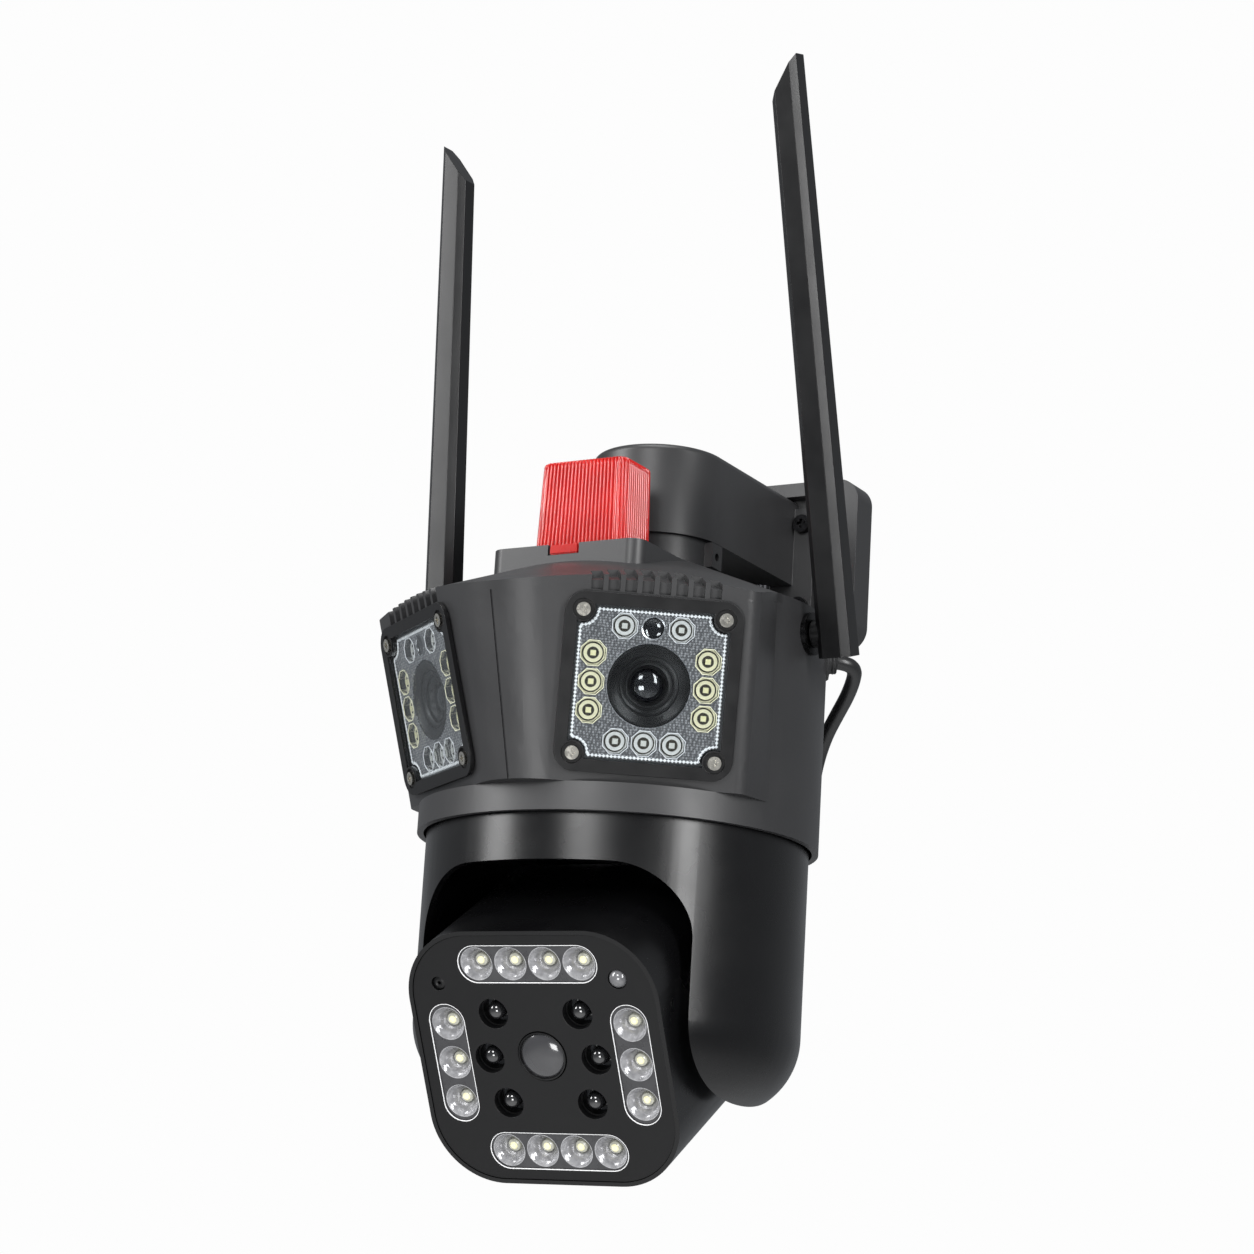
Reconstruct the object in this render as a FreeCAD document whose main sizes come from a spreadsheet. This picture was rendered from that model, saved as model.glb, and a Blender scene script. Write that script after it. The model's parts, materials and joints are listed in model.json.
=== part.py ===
"""Wall camera with two fixed camera bays, a red strobe and a pan and tilt head.

Frame: millimetres, +Z up.  The origin is the middle of the wall plate's back face, the wall is the
plane y = 0 and the camera looks along -Y.  Most pieces are drawn about the pan axis, with height
counted from just under the housing's skirt, and are then put in place with HOUSING.
"""
import FreeCAD
import Part
import Sketcher
import math
import os
import re
from FreeCAD import Placement, Rotation, Vector

doc = FreeCAD.newDocument("security_camera")

# ---------------------------------------------------------------- driving dimensions

SIZES = {
    # where the housing stands on its bracket
    "axis_to_wall": 82.0, "plate_centre_height": 113.0,
    # wall plate
    "plate_width": 97.0, "plate_tall": 60.0, "plate_depth": 12.0, "plate_corner": 8.0,
    "pocket_depth": 5.0, "pocket_border": 5.0, "wall_hole_span_x": 76.0, "wall_hole_span_z": 38.0,
    "wall_hole_dia": 5.2,
    # bracket arm and the turret under it
    "arm_radius": 23.2, "arm_offset": 14.8, "arm_low": 106.1, "arm_high": 137.3, "arm_wall": 2.8,
    "turret_radius": 21.4, "turret_bore": 16.0, "root_width": 62.0, "root_tall": 42.0,
    "root_thick": 3.0, "arm_hole_span_x": 53.6, "arm_hole_span_z": 30.0,
    # housing
    "shell_wall": 2.5, "skirt_radius": 66.0, "skirt_low": 1.0, "skirt_wall": 2.1,
    "bay_floor": 10.0, "floor_thick": 3.0, "roof_peak": 104.6, "roof_slope": 0.4,
    "roof_flat": 96.0, "cover_thick": 3.0, "prow_round_low": 22.0, "prow_round_high": 30.0,
    "cheek_round": 6.0, "cheek_angle": 15.5,
    # camera bays
    "bay_angle": 35.33, "bay_lean": 15.3, "bay_reach": 71.37, "bay_height": 39.73,
    "bay_half": 32.0, "pad_half": 28.0, "pad_corner": 6.5, "pad_proud": 1.5, "window_half": 24.0,
    "bay_screw_half": 22.3, "board_half": 21.2, "led_pitch": 8.9,
    "led_ring": 18.0, "led_flat": 4.1, "hood_radius": 13.0, "barrel_radius": 9.2,
    "glass_radius": 5.4,
    # vents
    "vent_pitch": 5.3, "vent_width": 3.7, "vent_depth": 2.0, "vent_reach": 12.0,
    # strobe
    "deck_half": 28.0, "deck_front": 46.6, "deck_back": 9.0, "deck_high": 92.0, "lens_wall": 2.0,
    "lamp_half_low": 17.0, "lamp_half_high": 15.9, "lamp_front": 38.6, "lamp_back": 17.6,
    "lamp_high": 123.2,
    # antennas
    "jack_height": 69.0, "jack_y": 2.0, "antenna_x": 75.7, "antenna_low": 8.0,
    "antenna_high": 186.0, "antenna_base": 5.75, "antenna_tip": 4.9, "antenna_slant": 14.0,
    "right_lean": 17.4, "left_lean": 3.9,
    # yoke
    "yoke_radius": 62.9, "yoke_wall": 2.6, "yoke_high": 8.0, "yoke_low": -84.5,
    "yoke_round": 25.0, "slot_half": 47.0, "slot_high": -14.0,
    "slot_round": 22.0, "ear_wall": 2.5, "chamber_high": 4.0, "tilt_height": -48.0,
    "rest_pan": 4.67, "rest_tilt": 29.8, "neck_radius": 12.0, "neck_bore": 8.0, "neck_high": 23.0,
    "running_gap": 0.06, "axle_radius": 5.0,
    # head
    "head_half": 43.0, "head_half_tall": 42.5, "head_corner": 23.0, "head_front": 52.5,
    "head_wall": 2.5, "face_inset": 1.4, "face_thick": 3.0, "cup_radius": 5.6, "cup_pitch_x": 11.75,
    "cup_pitch_z": 13.1, "cup_row": 31.4, "ir_hole": 5.0,
    # gears
    "pan_teeth": 58.0, "tilt_teeth": 32.0, "pinion_teeth": 10.0, "tooth_module": 1.0,
    "mesh_play": 0.35,
    # cable
    "gland_angle": 28.0, "gland_height": 67.0, "gland_radius": 6.5, "gland_reach": 69.5,
    "cable_radius": 2.5, "coil_radius": 27.0, "coil_width": 16.0, "coil_height": 40.0,
    "coil_back": 74.0,
}

sheet = doc.addObject("Spreadsheet::Sheet", "Sizes")
for row, (alias, amount) in enumerate(SIZES.items(), start=1):
    sheet.set("A%d" % row, alias.replace("_", " "))
    sheet.set("B%d" % row, str(amount))
    sheet.setAlias("B%d" % row, alias)
doc.recompute()


def size(alias):
    """A driving dimension, read from the sheet."""
    return float(sheet.get(alias))


def bound(formula):
    """A formula in the sheet's words, written as a FreeCAD expression."""
    def full_name(word):
        return "Sizes." + word.group(0) if word.group(0) in SIZES else word.group(0)

    return re.sub(r"[a-z_]+", full_name, formula)


# ---------------------------------------------------------------- frames

def shift(x=0.0, y=0.0, z=0.0):
    return Placement(Vector(x, y, z), Rotation())


def turn(axis, degrees):
    return Placement(Vector(), Rotation(axis, degrees))


X_AXIS, Y_AXIS, Z_AXIS = Vector(1, 0, 0), Vector(0, 1, 0), Vector(0, 0, 1)
ALONG_X = Rotation(Y_AXIS, 90)      # stands a cylinder's own Z along +X
ALONG_Y = Rotation(X_AXIS, -90)     # stands a cylinder's own Z along +Y
HOUSING = shift(0, -size("axis_to_wall"), -size("plate_centre_height"))
YOKE = HOUSING * turn(Z_AXIS, size("rest_pan"))
TILT_AXIS = YOKE * shift(z=size("tilt_height"))
HEAD = TILT_AXIS * turn(X_AXIS, size("rest_tilt"))
SIDES = {"left": -1, "right": 1}


def bay_frame(side):
    """Middle of a bay's window: x along its width, y inwards, z up its face."""
    angle = math.radians(size("bay_angle"))
    centre = shift(side * size("bay_reach") * math.sin(angle),
                   -size("bay_reach") * math.cos(angle), size("bay_height"))
    return HOUSING * centre * turn(Z_AXIS, side * size("bay_angle")) * turn(X_AXIS, size("bay_lean"))


def local(placement):
    """A placement of the finished camera, seen from the housing's own frame."""
    return HOUSING.inverse() * placement


# ---------------------------------------------------------------- ways of making a piece

NODES = []


def keep(item, name, placement=None):
    """Marks an object as a finished sub-part."""
    item.Label = name
    if placement is not None:
        item.Placement = placement
    NODES.append(item)
    return item


def primitive(kind, name, place=None, **formulas):
    item = doc.addObject("Part::" + kind, name)
    for prop, formula in formulas.items():
        item.setExpression(prop, bound(str(formula)))
    if place is not None:
        item.Placement = place
    return item


def rod(name, radius, length, x=0.0, y=0.0, z=0.0, along=None):
    """A cylinder from a point along Z, or along another axis."""
    return primitive("Cylinder", name, Placement(Vector(x, y, z), along or Rotation()),
                     Radius=radius, Height=length)


def block(name, x, y, z):
    """A box between two limits on each axis."""
    item = primitive("Box", name, shift(x[0], y[0], z[0]))
    item.Length, item.Width, item.Height = x[1] - x[0], y[1] - y[0], z[1] - z[0]
    return item


def joined(name, items):
    fuse = doc.addObject("Part::MultiFuse", name)
    fuse.Shapes = items
    return fuse


def cut(name, base, *tools):
    item = doc.addObject("Part::Cut", name)
    item.Base = base
    item.Tool = tools[0] if len(tools) == 1 else joined(name + "_tools", list(tools))
    return item


def group(name, items):
    """Separate solids that share one node."""
    bundle = doc.addObject("Part::Compound", name)
    bundle.Links = items
    return bundle


def modelled(name, shape, placement=None):
    """A piece whose shape needs Part's own functions."""
    item = doc.addObject("Part::Feature", name)
    item.Shape = shape
    item.Placement = placement or Placement()
    return item


def origin_plane(body, role):
    return next(item for item in body.Origin.OriginFeatures if item.Role == role)


def new_sketch(body, name, role, offset=0.0):
    sketch = body.newObject("Sketcher::SketchObject", name)
    sketch.AttachmentSupport = [(origin_plane(body, role), "")]
    sketch.MapMode = "FlatFace"
    sketch.AttachmentOffset = shift(z=offset)
    return sketch


def bind_last(sketch, name, formula):
    """Names the newest constraint and binds it to the sheet."""
    sketch.renameConstraint(sketch.ConstraintCount - 1, name)
    sketch.setExpression("Constraints." + name, bound(formula))


def draw_rounded_square(sketch, half_x, half_z, corner):
    """A centred rounded rectangle, its half sizes and corner bound to the sheet."""
    line, circle = Part.LineSegment, Part.Circle
    reach, inner = 20.0, 15.0
    ends = [((-inner, -reach), (inner, -reach)), ((reach, -inner), (reach, inner)),
            ((inner, reach), (-inner, reach)), ((-reach, inner), (-reach, -inner))]
    middles = [(inner, -inner), (inner, inner), (-inner, inner), (-inner, -inner)]
    for quarter, (pair, middle) in enumerate(zip(ends, middles)):
        sketch.addGeometry(line(Vector(*pair[0], 0), Vector(*pair[1], 0)))
        arc = circle(Vector(*middle, 0), Z_AXIS, reach - inner)
        start = math.radians(-90 + 90 * quarter)
        sketch.addGeometry(Part.ArcOfCircle(arc, start, start + math.pi / 2))
    rule = Sketcher.Constraint
    for index in range(8):
        sketch.addConstraint(rule("Tangent", index, 2, (index + 1) % 8, 1))
    for index, kind in ((0, "Horizontal"), (2, "Vertical"), (4, "Horizontal"), (6, "Vertical")):
        sketch.addConstraint(rule(kind, index))
    for index in (3, 5, 7):
        sketch.addConstraint(rule("Equal", 1, index))
    sketch.addConstraint(rule("Symmetric", 1, 3, 5, 3, -1, 1))
    sketch.addConstraint(rule("DistanceX", 6, 1, 2, 1, 2 * reach))
    bind_last(sketch, "width", "2 * (%s)" % half_x)
    sketch.addConstraint(rule("DistanceY", 0, 1, 4, 1, 2 * reach))
    bind_last(sketch, "tall", "2 * (%s)" % half_z)
    sketch.addConstraint(rule("Radius", 1, reach - inner))
    bind_last(sketch, "corner", corner)


def plate(name, half_x, half_z, corner, near, far):
    """A rounded plate that stands across Y, from y = near to y = far."""
    body = doc.addObject("PartDesign::Body", name)
    sketch = new_sketch(body, name + "_outline", "XZ_Plane", -far)
    draw_rounded_square(sketch, half_x, half_z, corner)
    pad = body.newObject("PartDesign::Pad", name + "_pad")
    pad.Profile = sketch
    pad.Length = far - near
    body.Tip = pad
    return body


def turned(name, profile):
    """A piece turned about Z from a half profile of (radius, height) formulas."""
    body = doc.addObject("PartDesign::Body", name)
    sketch = new_sketch(body, name + "_profile", "XZ_Plane")
    count = len(profile)
    for index in range(count):
        start = math.radians(360.0 * index / count)
        end = math.radians(360.0 * (index + 1) / count)
        first = Vector(40 + 10 * math.cos(start), 10 * math.sin(start), 0)
        second = Vector(40 + 10 * math.cos(end), 10 * math.sin(end), 0)
        sketch.addGeometry(Part.LineSegment(first, second))
    for index in range(count):
        rule = Sketcher.Constraint("Coincident", index, 2, (index + 1) % count, 1)
        sketch.addConstraint(rule)
    for index, (radius, height) in enumerate(profile):
        sketch.addConstraint(Sketcher.Constraint("DistanceX", -1, 1, index, 1, 1.0))
        bind_last(sketch, "radius_%d" % index, str(radius))
        sketch.addConstraint(Sketcher.Constraint("DistanceY", -1, 1, index, 1, 1.0))
        bind_last(sketch, "height_%d" % index, str(height))
    spin = body.newObject("PartDesign::Revolution", name + "_turn")
    spin.Profile = sketch
    spin.ReferenceAxis = (sketch, ["V_Axis"])
    spin.Angle = 360.0
    body.Tip = spin
    return body


def disc(radius, low, high, x=0.0, y=0.0):
    return Part.makeCylinder(radius, high - low, Vector(x, y, low))


def slab(x, y, z):
    return Part.makeBox(x[1] - x[0], y[1] - y[0], z[1] - z[0], Vector(x[0], y[0], z[0]))


def round_wire(corners, height, closing=None):
    """Straight sides with a tangent arc at each (x, y, radius) corner.

    closing is a point on the arc that leads from the last corner back to the first.
    """
    points = [Vector(x, y, height) for x, y, _ in corners]
    edges, place, last = [], points[0], len(corners) - 1
    wrap = closing is None
    if wrap:
        before, here, after = points[-1], points[0], points[1]
        place = corner_arc(before, here, after, corners[0][2])[2]
    for index in range(1, len(corners) + (1 if wrap else 0)):
        here = points[index % len(corners)]
        if not wrap and index == last:
            edges.append(Part.makeLine(place, here))
            place = here
            break
        before, after = points[index - 1], points[(index + 1) % len(corners)]
        first, middle, second = corner_arc(before, here, after, corners[index % len(corners)][2])
        edges.append(Part.makeLine(place, first))
        edges.append(Part.Arc(first, middle, second).toShape())
        place = second
    if not wrap:
        edges.append(Part.Arc(place, Vector(closing[0], closing[1], height), points[0]).toShape())
    return Part.Wire(edges)


def corner_arc(before, here, after, radius):
    """Start, middle and end of the arc that rounds one corner."""
    back, forth = (before - here).normalize(), (after - here).normalize()
    half = back.getAngle(forth) / 2
    reach = radius / math.tan(half)
    bisector = (back + forth).normalize()
    return (here + back * reach,
            here + bisector * (radius / math.sin(half) - radius),
            here + forth * reach)


# ---------------------------------------------------------------- wall plate and bracket arm

def make_wall_plate():
    half_x, half_z = "plate_width / 2", "plate_tall / 2"
    depth, pocket = size("plate_depth"), size("pocket_depth")
    tray = plate("plate_tray", half_x, half_z, "plate_corner", -depth, 0)
    recess = plate("plate_recess", half_x + " - pocket_border", half_z + " - pocket_border",
                   "plate_corner - 3", -depth - 1, pocket - depth)
    tools = [recess]
    for x in (-1, 1):
        for z in (-1, 1):
            tools.append(rod("wall_hole", "wall_hole_dia / 2", depth,
                             x * size("wall_hole_span_x") / 2, -depth,
                             z * size("wall_hole_span_z") / 2, ALONG_Y))
            tools.append(rod("arm_pilot", "1.95", depth + 2, x * size("arm_hole_span_x") / 2,
                             -depth - 1, z * size("arm_hole_span_z") / 2, ALONG_Y))
    keep(cut("wall_plate_solid", tray, *tools), "wall_plate")


def arm_outline(radius, back, height):
    """Plan of the arm: a half round front and two straight sides back to the plate."""
    centre = size("arm_offset")
    left, right = Vector(-radius, centre, height), Vector(radius, centre, height)
    far_left, far_right = Vector(-radius, back, height), Vector(radius, back, height)
    return Part.Wire([Part.Arc(left, Vector(0, centre - radius, height), right).toShape(),
                      Part.makeLine(right, far_right), Part.makeLine(far_right, far_left),
                      Part.makeLine(far_left, left)])


def make_bracket_arm():
    low, high, wall = size("arm_low"), size("arm_high"), size("arm_wall")
    back = size("axis_to_wall") - size("plate_depth") + size("pocket_depth")
    outer = Part.Face(arm_outline(size("arm_radius"), back, low)).extrude(Vector(0, 0, high - low))
    rim = [edge for edge in outer.Edges if abs(edge.CenterOfMass.z - high) < 0.01
           and edge.CenterOfMass.y < back - 1]
    outer = outer.makeFillet(2.5, rim)
    inner = Part.Face(arm_outline(size("arm_radius") - wall, back + 1, low + wall))
    hollow = inner.extrude(Vector(0, 0, high - low - 2 * wall))
    middle = size("plate_centre_height")
    half_x, half_z = size("root_width") / 2, size("root_tall") / 2
    root = slab((-half_x, half_x), (back - size("root_thick"), back), (middle - half_z, middle + half_z))
    root = root.makeFillet(5.0, [edge for edge in root.Edges if edge.Length < size("root_thick") + 0.01])
    body = outer.fuse(root).cut(hollow)
    for x in (-1, 1):
        for z in (-1, 1):
            hole = Part.makeCylinder(2.2, 8, Vector(x * size("arm_hole_span_x") / 2, back - 5,
                                                    middle + z * size("arm_hole_span_z") / 2), Y_AXIS)
            body = body.cut(hole)
    for angle in TURRET_SCREW_ANGLES:
        x, y = turret_screw_spot(angle)
        body = body.cut(disc(1.6, low - 1, low + wall + 1, x, y))
    bore = disc(7.0, low - 1, low + wall + 1, 0, size("arm_offset"))
    keep(modelled("arm_solid", body.cut(bore).removeSplitter(), HOUSING), "bracket_arm")


TURRET_SCREW_ANGLES = (30, 150, 270)


def turret_screw_spot(angle):
    reach = (size("turret_bore") + size("turret_radius")) / 2 - 6.5
    return (reach * math.cos(math.radians(angle)),
            size("arm_offset") + reach * math.sin(math.radians(angle)))


def screw(name, place, head, head_tall=2.4, shank=1.9, length=9.0, drive=1.6):
    """A pan head screw with a cross recess; its shank runs along the placement's +Z."""
    top = rod(name + "_head", str(head), head_tall, 0, 0, -head_tall)
    shaft = rod(name + "_shank", str(shank), length)
    slot = 0.34 * head
    deep = (-head_tall - 0.1, -0.4 * head_tall)
    cross = [block(name + "_slot", (-drive, drive), (-slot / 2, slot / 2), deep),
             block(name + "_slot", (-slot / 2, slot / 2), (-drive, drive), deep)]
    whole = cut(name, joined(name + "_blank", [top, shaft]), *cross)
    whole.Placement = place
    return whole


def make_bracket_screws():
    back = size("axis_to_wall") - size("plate_depth") + size("pocket_depth")
    middle = size("plate_centre_height")
    screws = []
    for x in (-1, 1):
        for z in (-1, 1):
            spot = Vector(x * size("arm_hole_span_x") / 2, back - size("root_thick"),
                          middle + z * size("arm_hole_span_z") / 2)
            screws.append(screw("arm_screw", HOUSING * Placement(spot, ALONG_Y), head=3.2, length=9.5))
    keep(group("bracket_screw_group", screws), "bracket_screws")
    turret = []
    for angle in TURRET_SCREW_ANGLES:
        x, y = turret_screw_spot(angle)
        spot = Vector(x, y, size("arm_low") + size("arm_wall"))
        turret.append(screw("turret_screw", HOUSING * Placement(spot, Rotation(X_AXIS, 180)),
                            head=2.8, head_tall=1.8, shank=1.5, length=10.0, drive=1.3))
    keep(group("turret_screw_group", turret), "turret_screws")


# ---------------------------------------------------------------- housing

BAY_LEAN_SLOPE = math.tan(math.radians(size("bay_lean")))


def housing_outline(height, inset=0.0):
    """Plan of the housing at one height: two flat cheeks, a rounded prow and a round back."""
    angle = math.radians(size("bay_angle"))
    face = size("bay_reach") + (height - size("bay_height")) * BAY_LEAN_SLOPE
    face -= size("pad_proud") / math.cos(math.radians(size("bay_lean"))) + inset
    half = size("bay_half") - inset
    rise = (height - size("bay_floor")) / (size("roof_flat") - size("bay_floor"))
    prow_round = size("prow_round_low") * (1 - rise) + size("prow_round_high") * rise - inset
    normal, across = (math.sin(angle), -math.cos(angle)), (math.cos(angle), math.sin(angle))
    cheek_x = face * normal[0] + half * across[0]
    cheek_y = face * normal[1] + half * across[1]
    back = size("skirt_radius") - inset
    side = math.radians(-size("cheek_angle"))
    root_x, root_y = back * math.cos(side), back * math.sin(side)
    cheek_round = size("cheek_round") - inset
    corners = [(-root_x, root_y, 0), (-cheek_x, cheek_y, cheek_round),
               (0, -face / math.cos(angle), prow_round), (cheek_x, cheek_y, cheek_round),
               (root_x, root_y, 0)]
    return round_wire(corners, height, (0, back))


def housing_blank(low, high, inset=0.0):
    return Part.makeLoft([housing_outline(low, inset), housing_outline(high, inset)], True, True)


def roof_cone(drop=0.0):
    """Everything under the roof's slope, or under a copy of it lowered by drop."""
    high, low = size("roof_flat"), -20.0
    reach_low = (size("roof_peak") - low) / size("roof_slope")
    reach_high = (size("roof_peak") - high) / size("roof_slope")
    return Part.makeCone(reach_low, reach_high, high - low, Vector(0, 0, low - drop))


def in_bay(shape, side):
    """Puts a shape drawn in a bay's frame in the housing's frame."""
    copy = shape.copy()
    copy.Placement = local(bay_frame(side)) * copy.Placement
    return copy


def make_upper_housing():
    floor, wall = size("bay_floor"), size("shell_wall")
    top = size("roof_flat") + 2
    outer = housing_blank(floor, top).common(roof_cone(size("cover_thick")))
    outer = outer.fuse(disc(size("skirt_radius"), size("skirt_low"), floor))
    inner = housing_blank(floor + size("floor_thick"), top + 1, wall)
    body = outer.cut(inner)
    body = body.cut(disc(size("skirt_radius") - size("skirt_wall"), size("skirt_low") - 1, floor))
    body = body.cut(disc(size("neck_radius") + size("running_gap"), floor - 1, floor + 5))
    half = size("window_half") - 1.4
    for side in SIDES.values():
        opening = slab((-half, half), (-5, 9), (-half, half))
        opening = opening.makeFillet(4.0, [e for e in opening.Edges if abs(e.Length - 14) < 0.01])
        body = body.cut(in_bay(opening, side))
        for x, z in bay_screw_spots():
            post = Part.makeCylinder(3.4, 9, Vector(x, 1.5, z), Y_AXIS)
            pilot = Part.makeCylinder(1.3, 11, Vector(x, 0, z), Y_AXIS)
            post = in_bay(post, side).common(housing_blank(floor, top)).cut(in_bay(pilot, side))
            body = body.fuse(post).cut(in_bay(pilot, side))
        thread = Part.makeCylinder(3.3, 12, Vector(side * 58, size("jack_y"), size("jack_height")),
                                   X_AXIS * side)
        body = body.cut(thread)
        for groove in vent_cutters(side):
            body = body.cut(groove)
    gland = Part.makeCylinder(size("gland_radius"), 12, gland_spot(58.0), gland_spot(1.0, 0.0))
    body = body.cut(gland)
    for x, y in cover_screw_spots():
        boss = disc(3.6, floor + 2, 74, x, y).common(roof_cone(size("cover_thick")))
        body = body.fuse(boss).cut(disc(1.3, 62, 80, x, y))
    seam = slab((-0.35, 0.35), (-110, -60), (floor, 90)).cut(housing_blank(floor - 1, top, 0.5))
    keep(modelled("housing_solid", body.cut(seam), HOUSING), "upper_housing")


def bay_screw_spots():
    half = size("bay_screw_half")
    return [(x * half, z * half) for x in (-1, 1) for z in (-1, 1)]


def cover_screw_spots():
    return [(-46.0, 36.0), (46.0, 36.0), (-56.0, -14.0), (56.0, -14.0)]


def cover_screw_seat(x, y):
    """Height at which a cover screw's head meets the roof."""
    slope = size("roof_slope") * math.hypot(x, y)
    return size("roof_peak") - slope - size("cover_thick") + 1.6


def gland_spot(reach, height=None):
    """A point on the cable gland's axis, this far from the pan axis."""
    angle = math.radians(size("gland_angle"))
    return Vector(reach * math.cos(angle), reach * math.sin(angle),
                  size("gland_height") if height is None else height)


def vent_cutters(side):
    """Grooves over one bay: up the wall from the pad's edge, then up the roof's edge."""
    angle = math.radians(size("bay_angle"))
    low = roof_cone(size("vent_depth"))
    edge = size("bay_reach") + 40 * BAY_LEAN_SLOPE
    for index in range(8):
        across = (index - 3.5) * size("vent_pitch")
        reach = size("vent_reach") * math.sqrt(1 - (across / 24.0) ** 2)
        groove = slab((across - size("vent_width") / 2, across + size("vent_width") / 2),
                      (-edge - 8, -edge + reach + 4.0), (55, 95))
        groove.Placement = turn(Z_AXIS, side * math.degrees(angle))
        yield groove.cut(low)
        upright = slab((across - size("vent_width") / 2, across + size("vent_width") / 2),
                       (-3.0, 3.2), (size("pad_half") + 0.6, 50.0))
        yield in_bay(upright, side)


def make_top_cover():
    top, thick = size("roof_flat") + 2, size("cover_thick")
    roof = housing_blank(size("bay_floor"), top + 8)
    half, wall = size("deck_half"), size("shell_wall")
    front, back = -size("deck_front"), -size("deck_back")
    deck = slab((-half, half), (front, back), (70, size("deck_high")))
    deck = deck.makeFillet(5.0, [e for e in deck.Edges
                                 if abs(e.Length - size("deck_high") + 70) < 0.01
                                 and e.CenterOfMass.y < front + 1])
    offset = size("arm_offset")
    turret = disc(size("turret_radius"), 70, size("arm_low"), 0, offset)
    shell = roof.common(roof_cone()).fuse(deck).fuse(turret)
    shell = shell.cut(roof_cone(thick))
    seat_x, seat_y = (-17.4, 17.4), (-39.0, -17.2)
    shell = shell.fuse(slab(seat_x, seat_y, (size("deck_high") - wall, size("deck_high"))))
    shell = shell.cut(slab(seat_x, seat_y, (size("deck_high"), size("deck_high") + 20)))
    inside = slab((-half + wall, half - wall), (front + wall, back - wall),
                  (60, size("deck_high") - wall))
    shell = shell.cut(inside).cut(disc(size("turret_bore"), 60, size("arm_low") - 3.5, 0, offset))
    shell = shell.cut(disc(7.0, 60, size("arm_low") + 1, 0, offset))
    for side in SIDES.values():
        for groove in vent_cutters(side):
            shell = shell.cut(groove)
    for angle in TURRET_SCREW_ANGLES:
        x, y = turret_screw_spot(angle)
        shell = shell.cut(disc(1.5, 60, size("arm_low") + 1, x, y))
    for x, y in cover_screw_spots():
        shell = shell.cut(disc(1.5, 60, 100, x, y)).cut(disc(3.0, cover_screw_seat(x, y), 100, x, y))
    notch = slab((-5.8, 5.8), (front - 1, front + 1.2), (size("deck_high") - 3.6, size("deck_high") + 1))
    wire_way = slab((-6, 6), (-34, -24), (80, size("deck_high") + 1))
    shell = shell.cut(notch).cut(wire_way)
    lug = slab((20.5, 24.0), (offset - 4.5, offset + 2.5), (size("arm_low") - 9, size("arm_low") - 0.6))
    pin = Part.makeCylinder(1.4, 6, Vector(19, offset - 1, size("arm_low") - 5), X_AXIS)
    shell = shell.fuse(lug).cut(pin)
    keep(modelled("cover_solid", shell.removeSplitter(), HOUSING), "top_cover")


def make_housing_screws():
    screws = []
    for x, y in cover_screw_spots():
        seat = Vector(x, y, cover_screw_seat(x, y))
        spot = HOUSING * Placement(seat, Rotation(X_AXIS, 180))
        screws.append(screw("cover_screw", spot, head=2.5, head_tall=1.5, shank=1.3, length=9.0,
                            drive=1.1))
    keep(group("cover_screw_group", screws), "cover_screws")


# ---------------------------------------------------------------- camera bays

def led_spots():
    """Middles of a bay's eleven lamps: two above, three each side, three below the lens."""
    ring, pitch = size("led_ring"), size("led_pitch")
    above = [(-pitch, ring), (pitch, ring)]
    sides = [(x * ring, z * pitch) for x in (-1, 1) for z in (-1, 0, 1)]
    return above + sides + [(x * pitch, -ring) for x in (-1, 0, 1)]


def make_bay(side_name, side):
    frame, face = bay_frame(side), size("pad_proud") - 0.3
    prefix = side_name + "_"
    opening = cut(prefix + "opening", plate(prefix + "opening_blank", "window_half", "window_half",
                                            "3.0", -2, 4),
                  *[rod("lobe", "3.9", 8, x, -3, z, ALONG_Y) for x, z in bay_screw_spots()])
    pockets = [rod("counterbore", "3.3", 1.8, x, -1.3, z, ALONG_Y) for x, z in bay_screw_spots()]
    holes = [rod("screw_way", "1.5", 4, x, -1, z, ALONG_Y) for x, z in bay_screw_spots()]
    pad = plate(prefix + "pad_blank", "pad_half", "pad_half", "pad_corner", -0.3, face)
    keep(cut(prefix + "pad", pad, opening, *pockets, *holes), prefix + "window_gasket", frame)

    pane = plate(prefix + "pane", "window_half - 0.05", "window_half - 0.05", "3.0", 0, face)
    notches = [rod("notch", "4.0", 4, x, -1, z, ALONG_Y) for x, z in bay_screw_spots()]
    keep(cut(prefix + "pane_cut", pane, *notches), prefix + "window", frame)

    barrel = turned(prefix + "barrel", [
        ("hood_radius", 1.8), ("hood_radius", 4.4), ("barrel_radius", 4.4), ("barrel_radius", 20),
        (4.0, 20), (4.0, 9.0), ("glass_radius", 9.0), ("glass_radius", 4.6),
        ("barrel_radius - 0.6", 3.6), ("barrel_radius + 0.4", 3.0), ("hood_radius - 0.7", 1.8)])
    keep(barrel, prefix + "lens_barrel", frame * Placement(Vector(), ALONG_Y))


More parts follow.
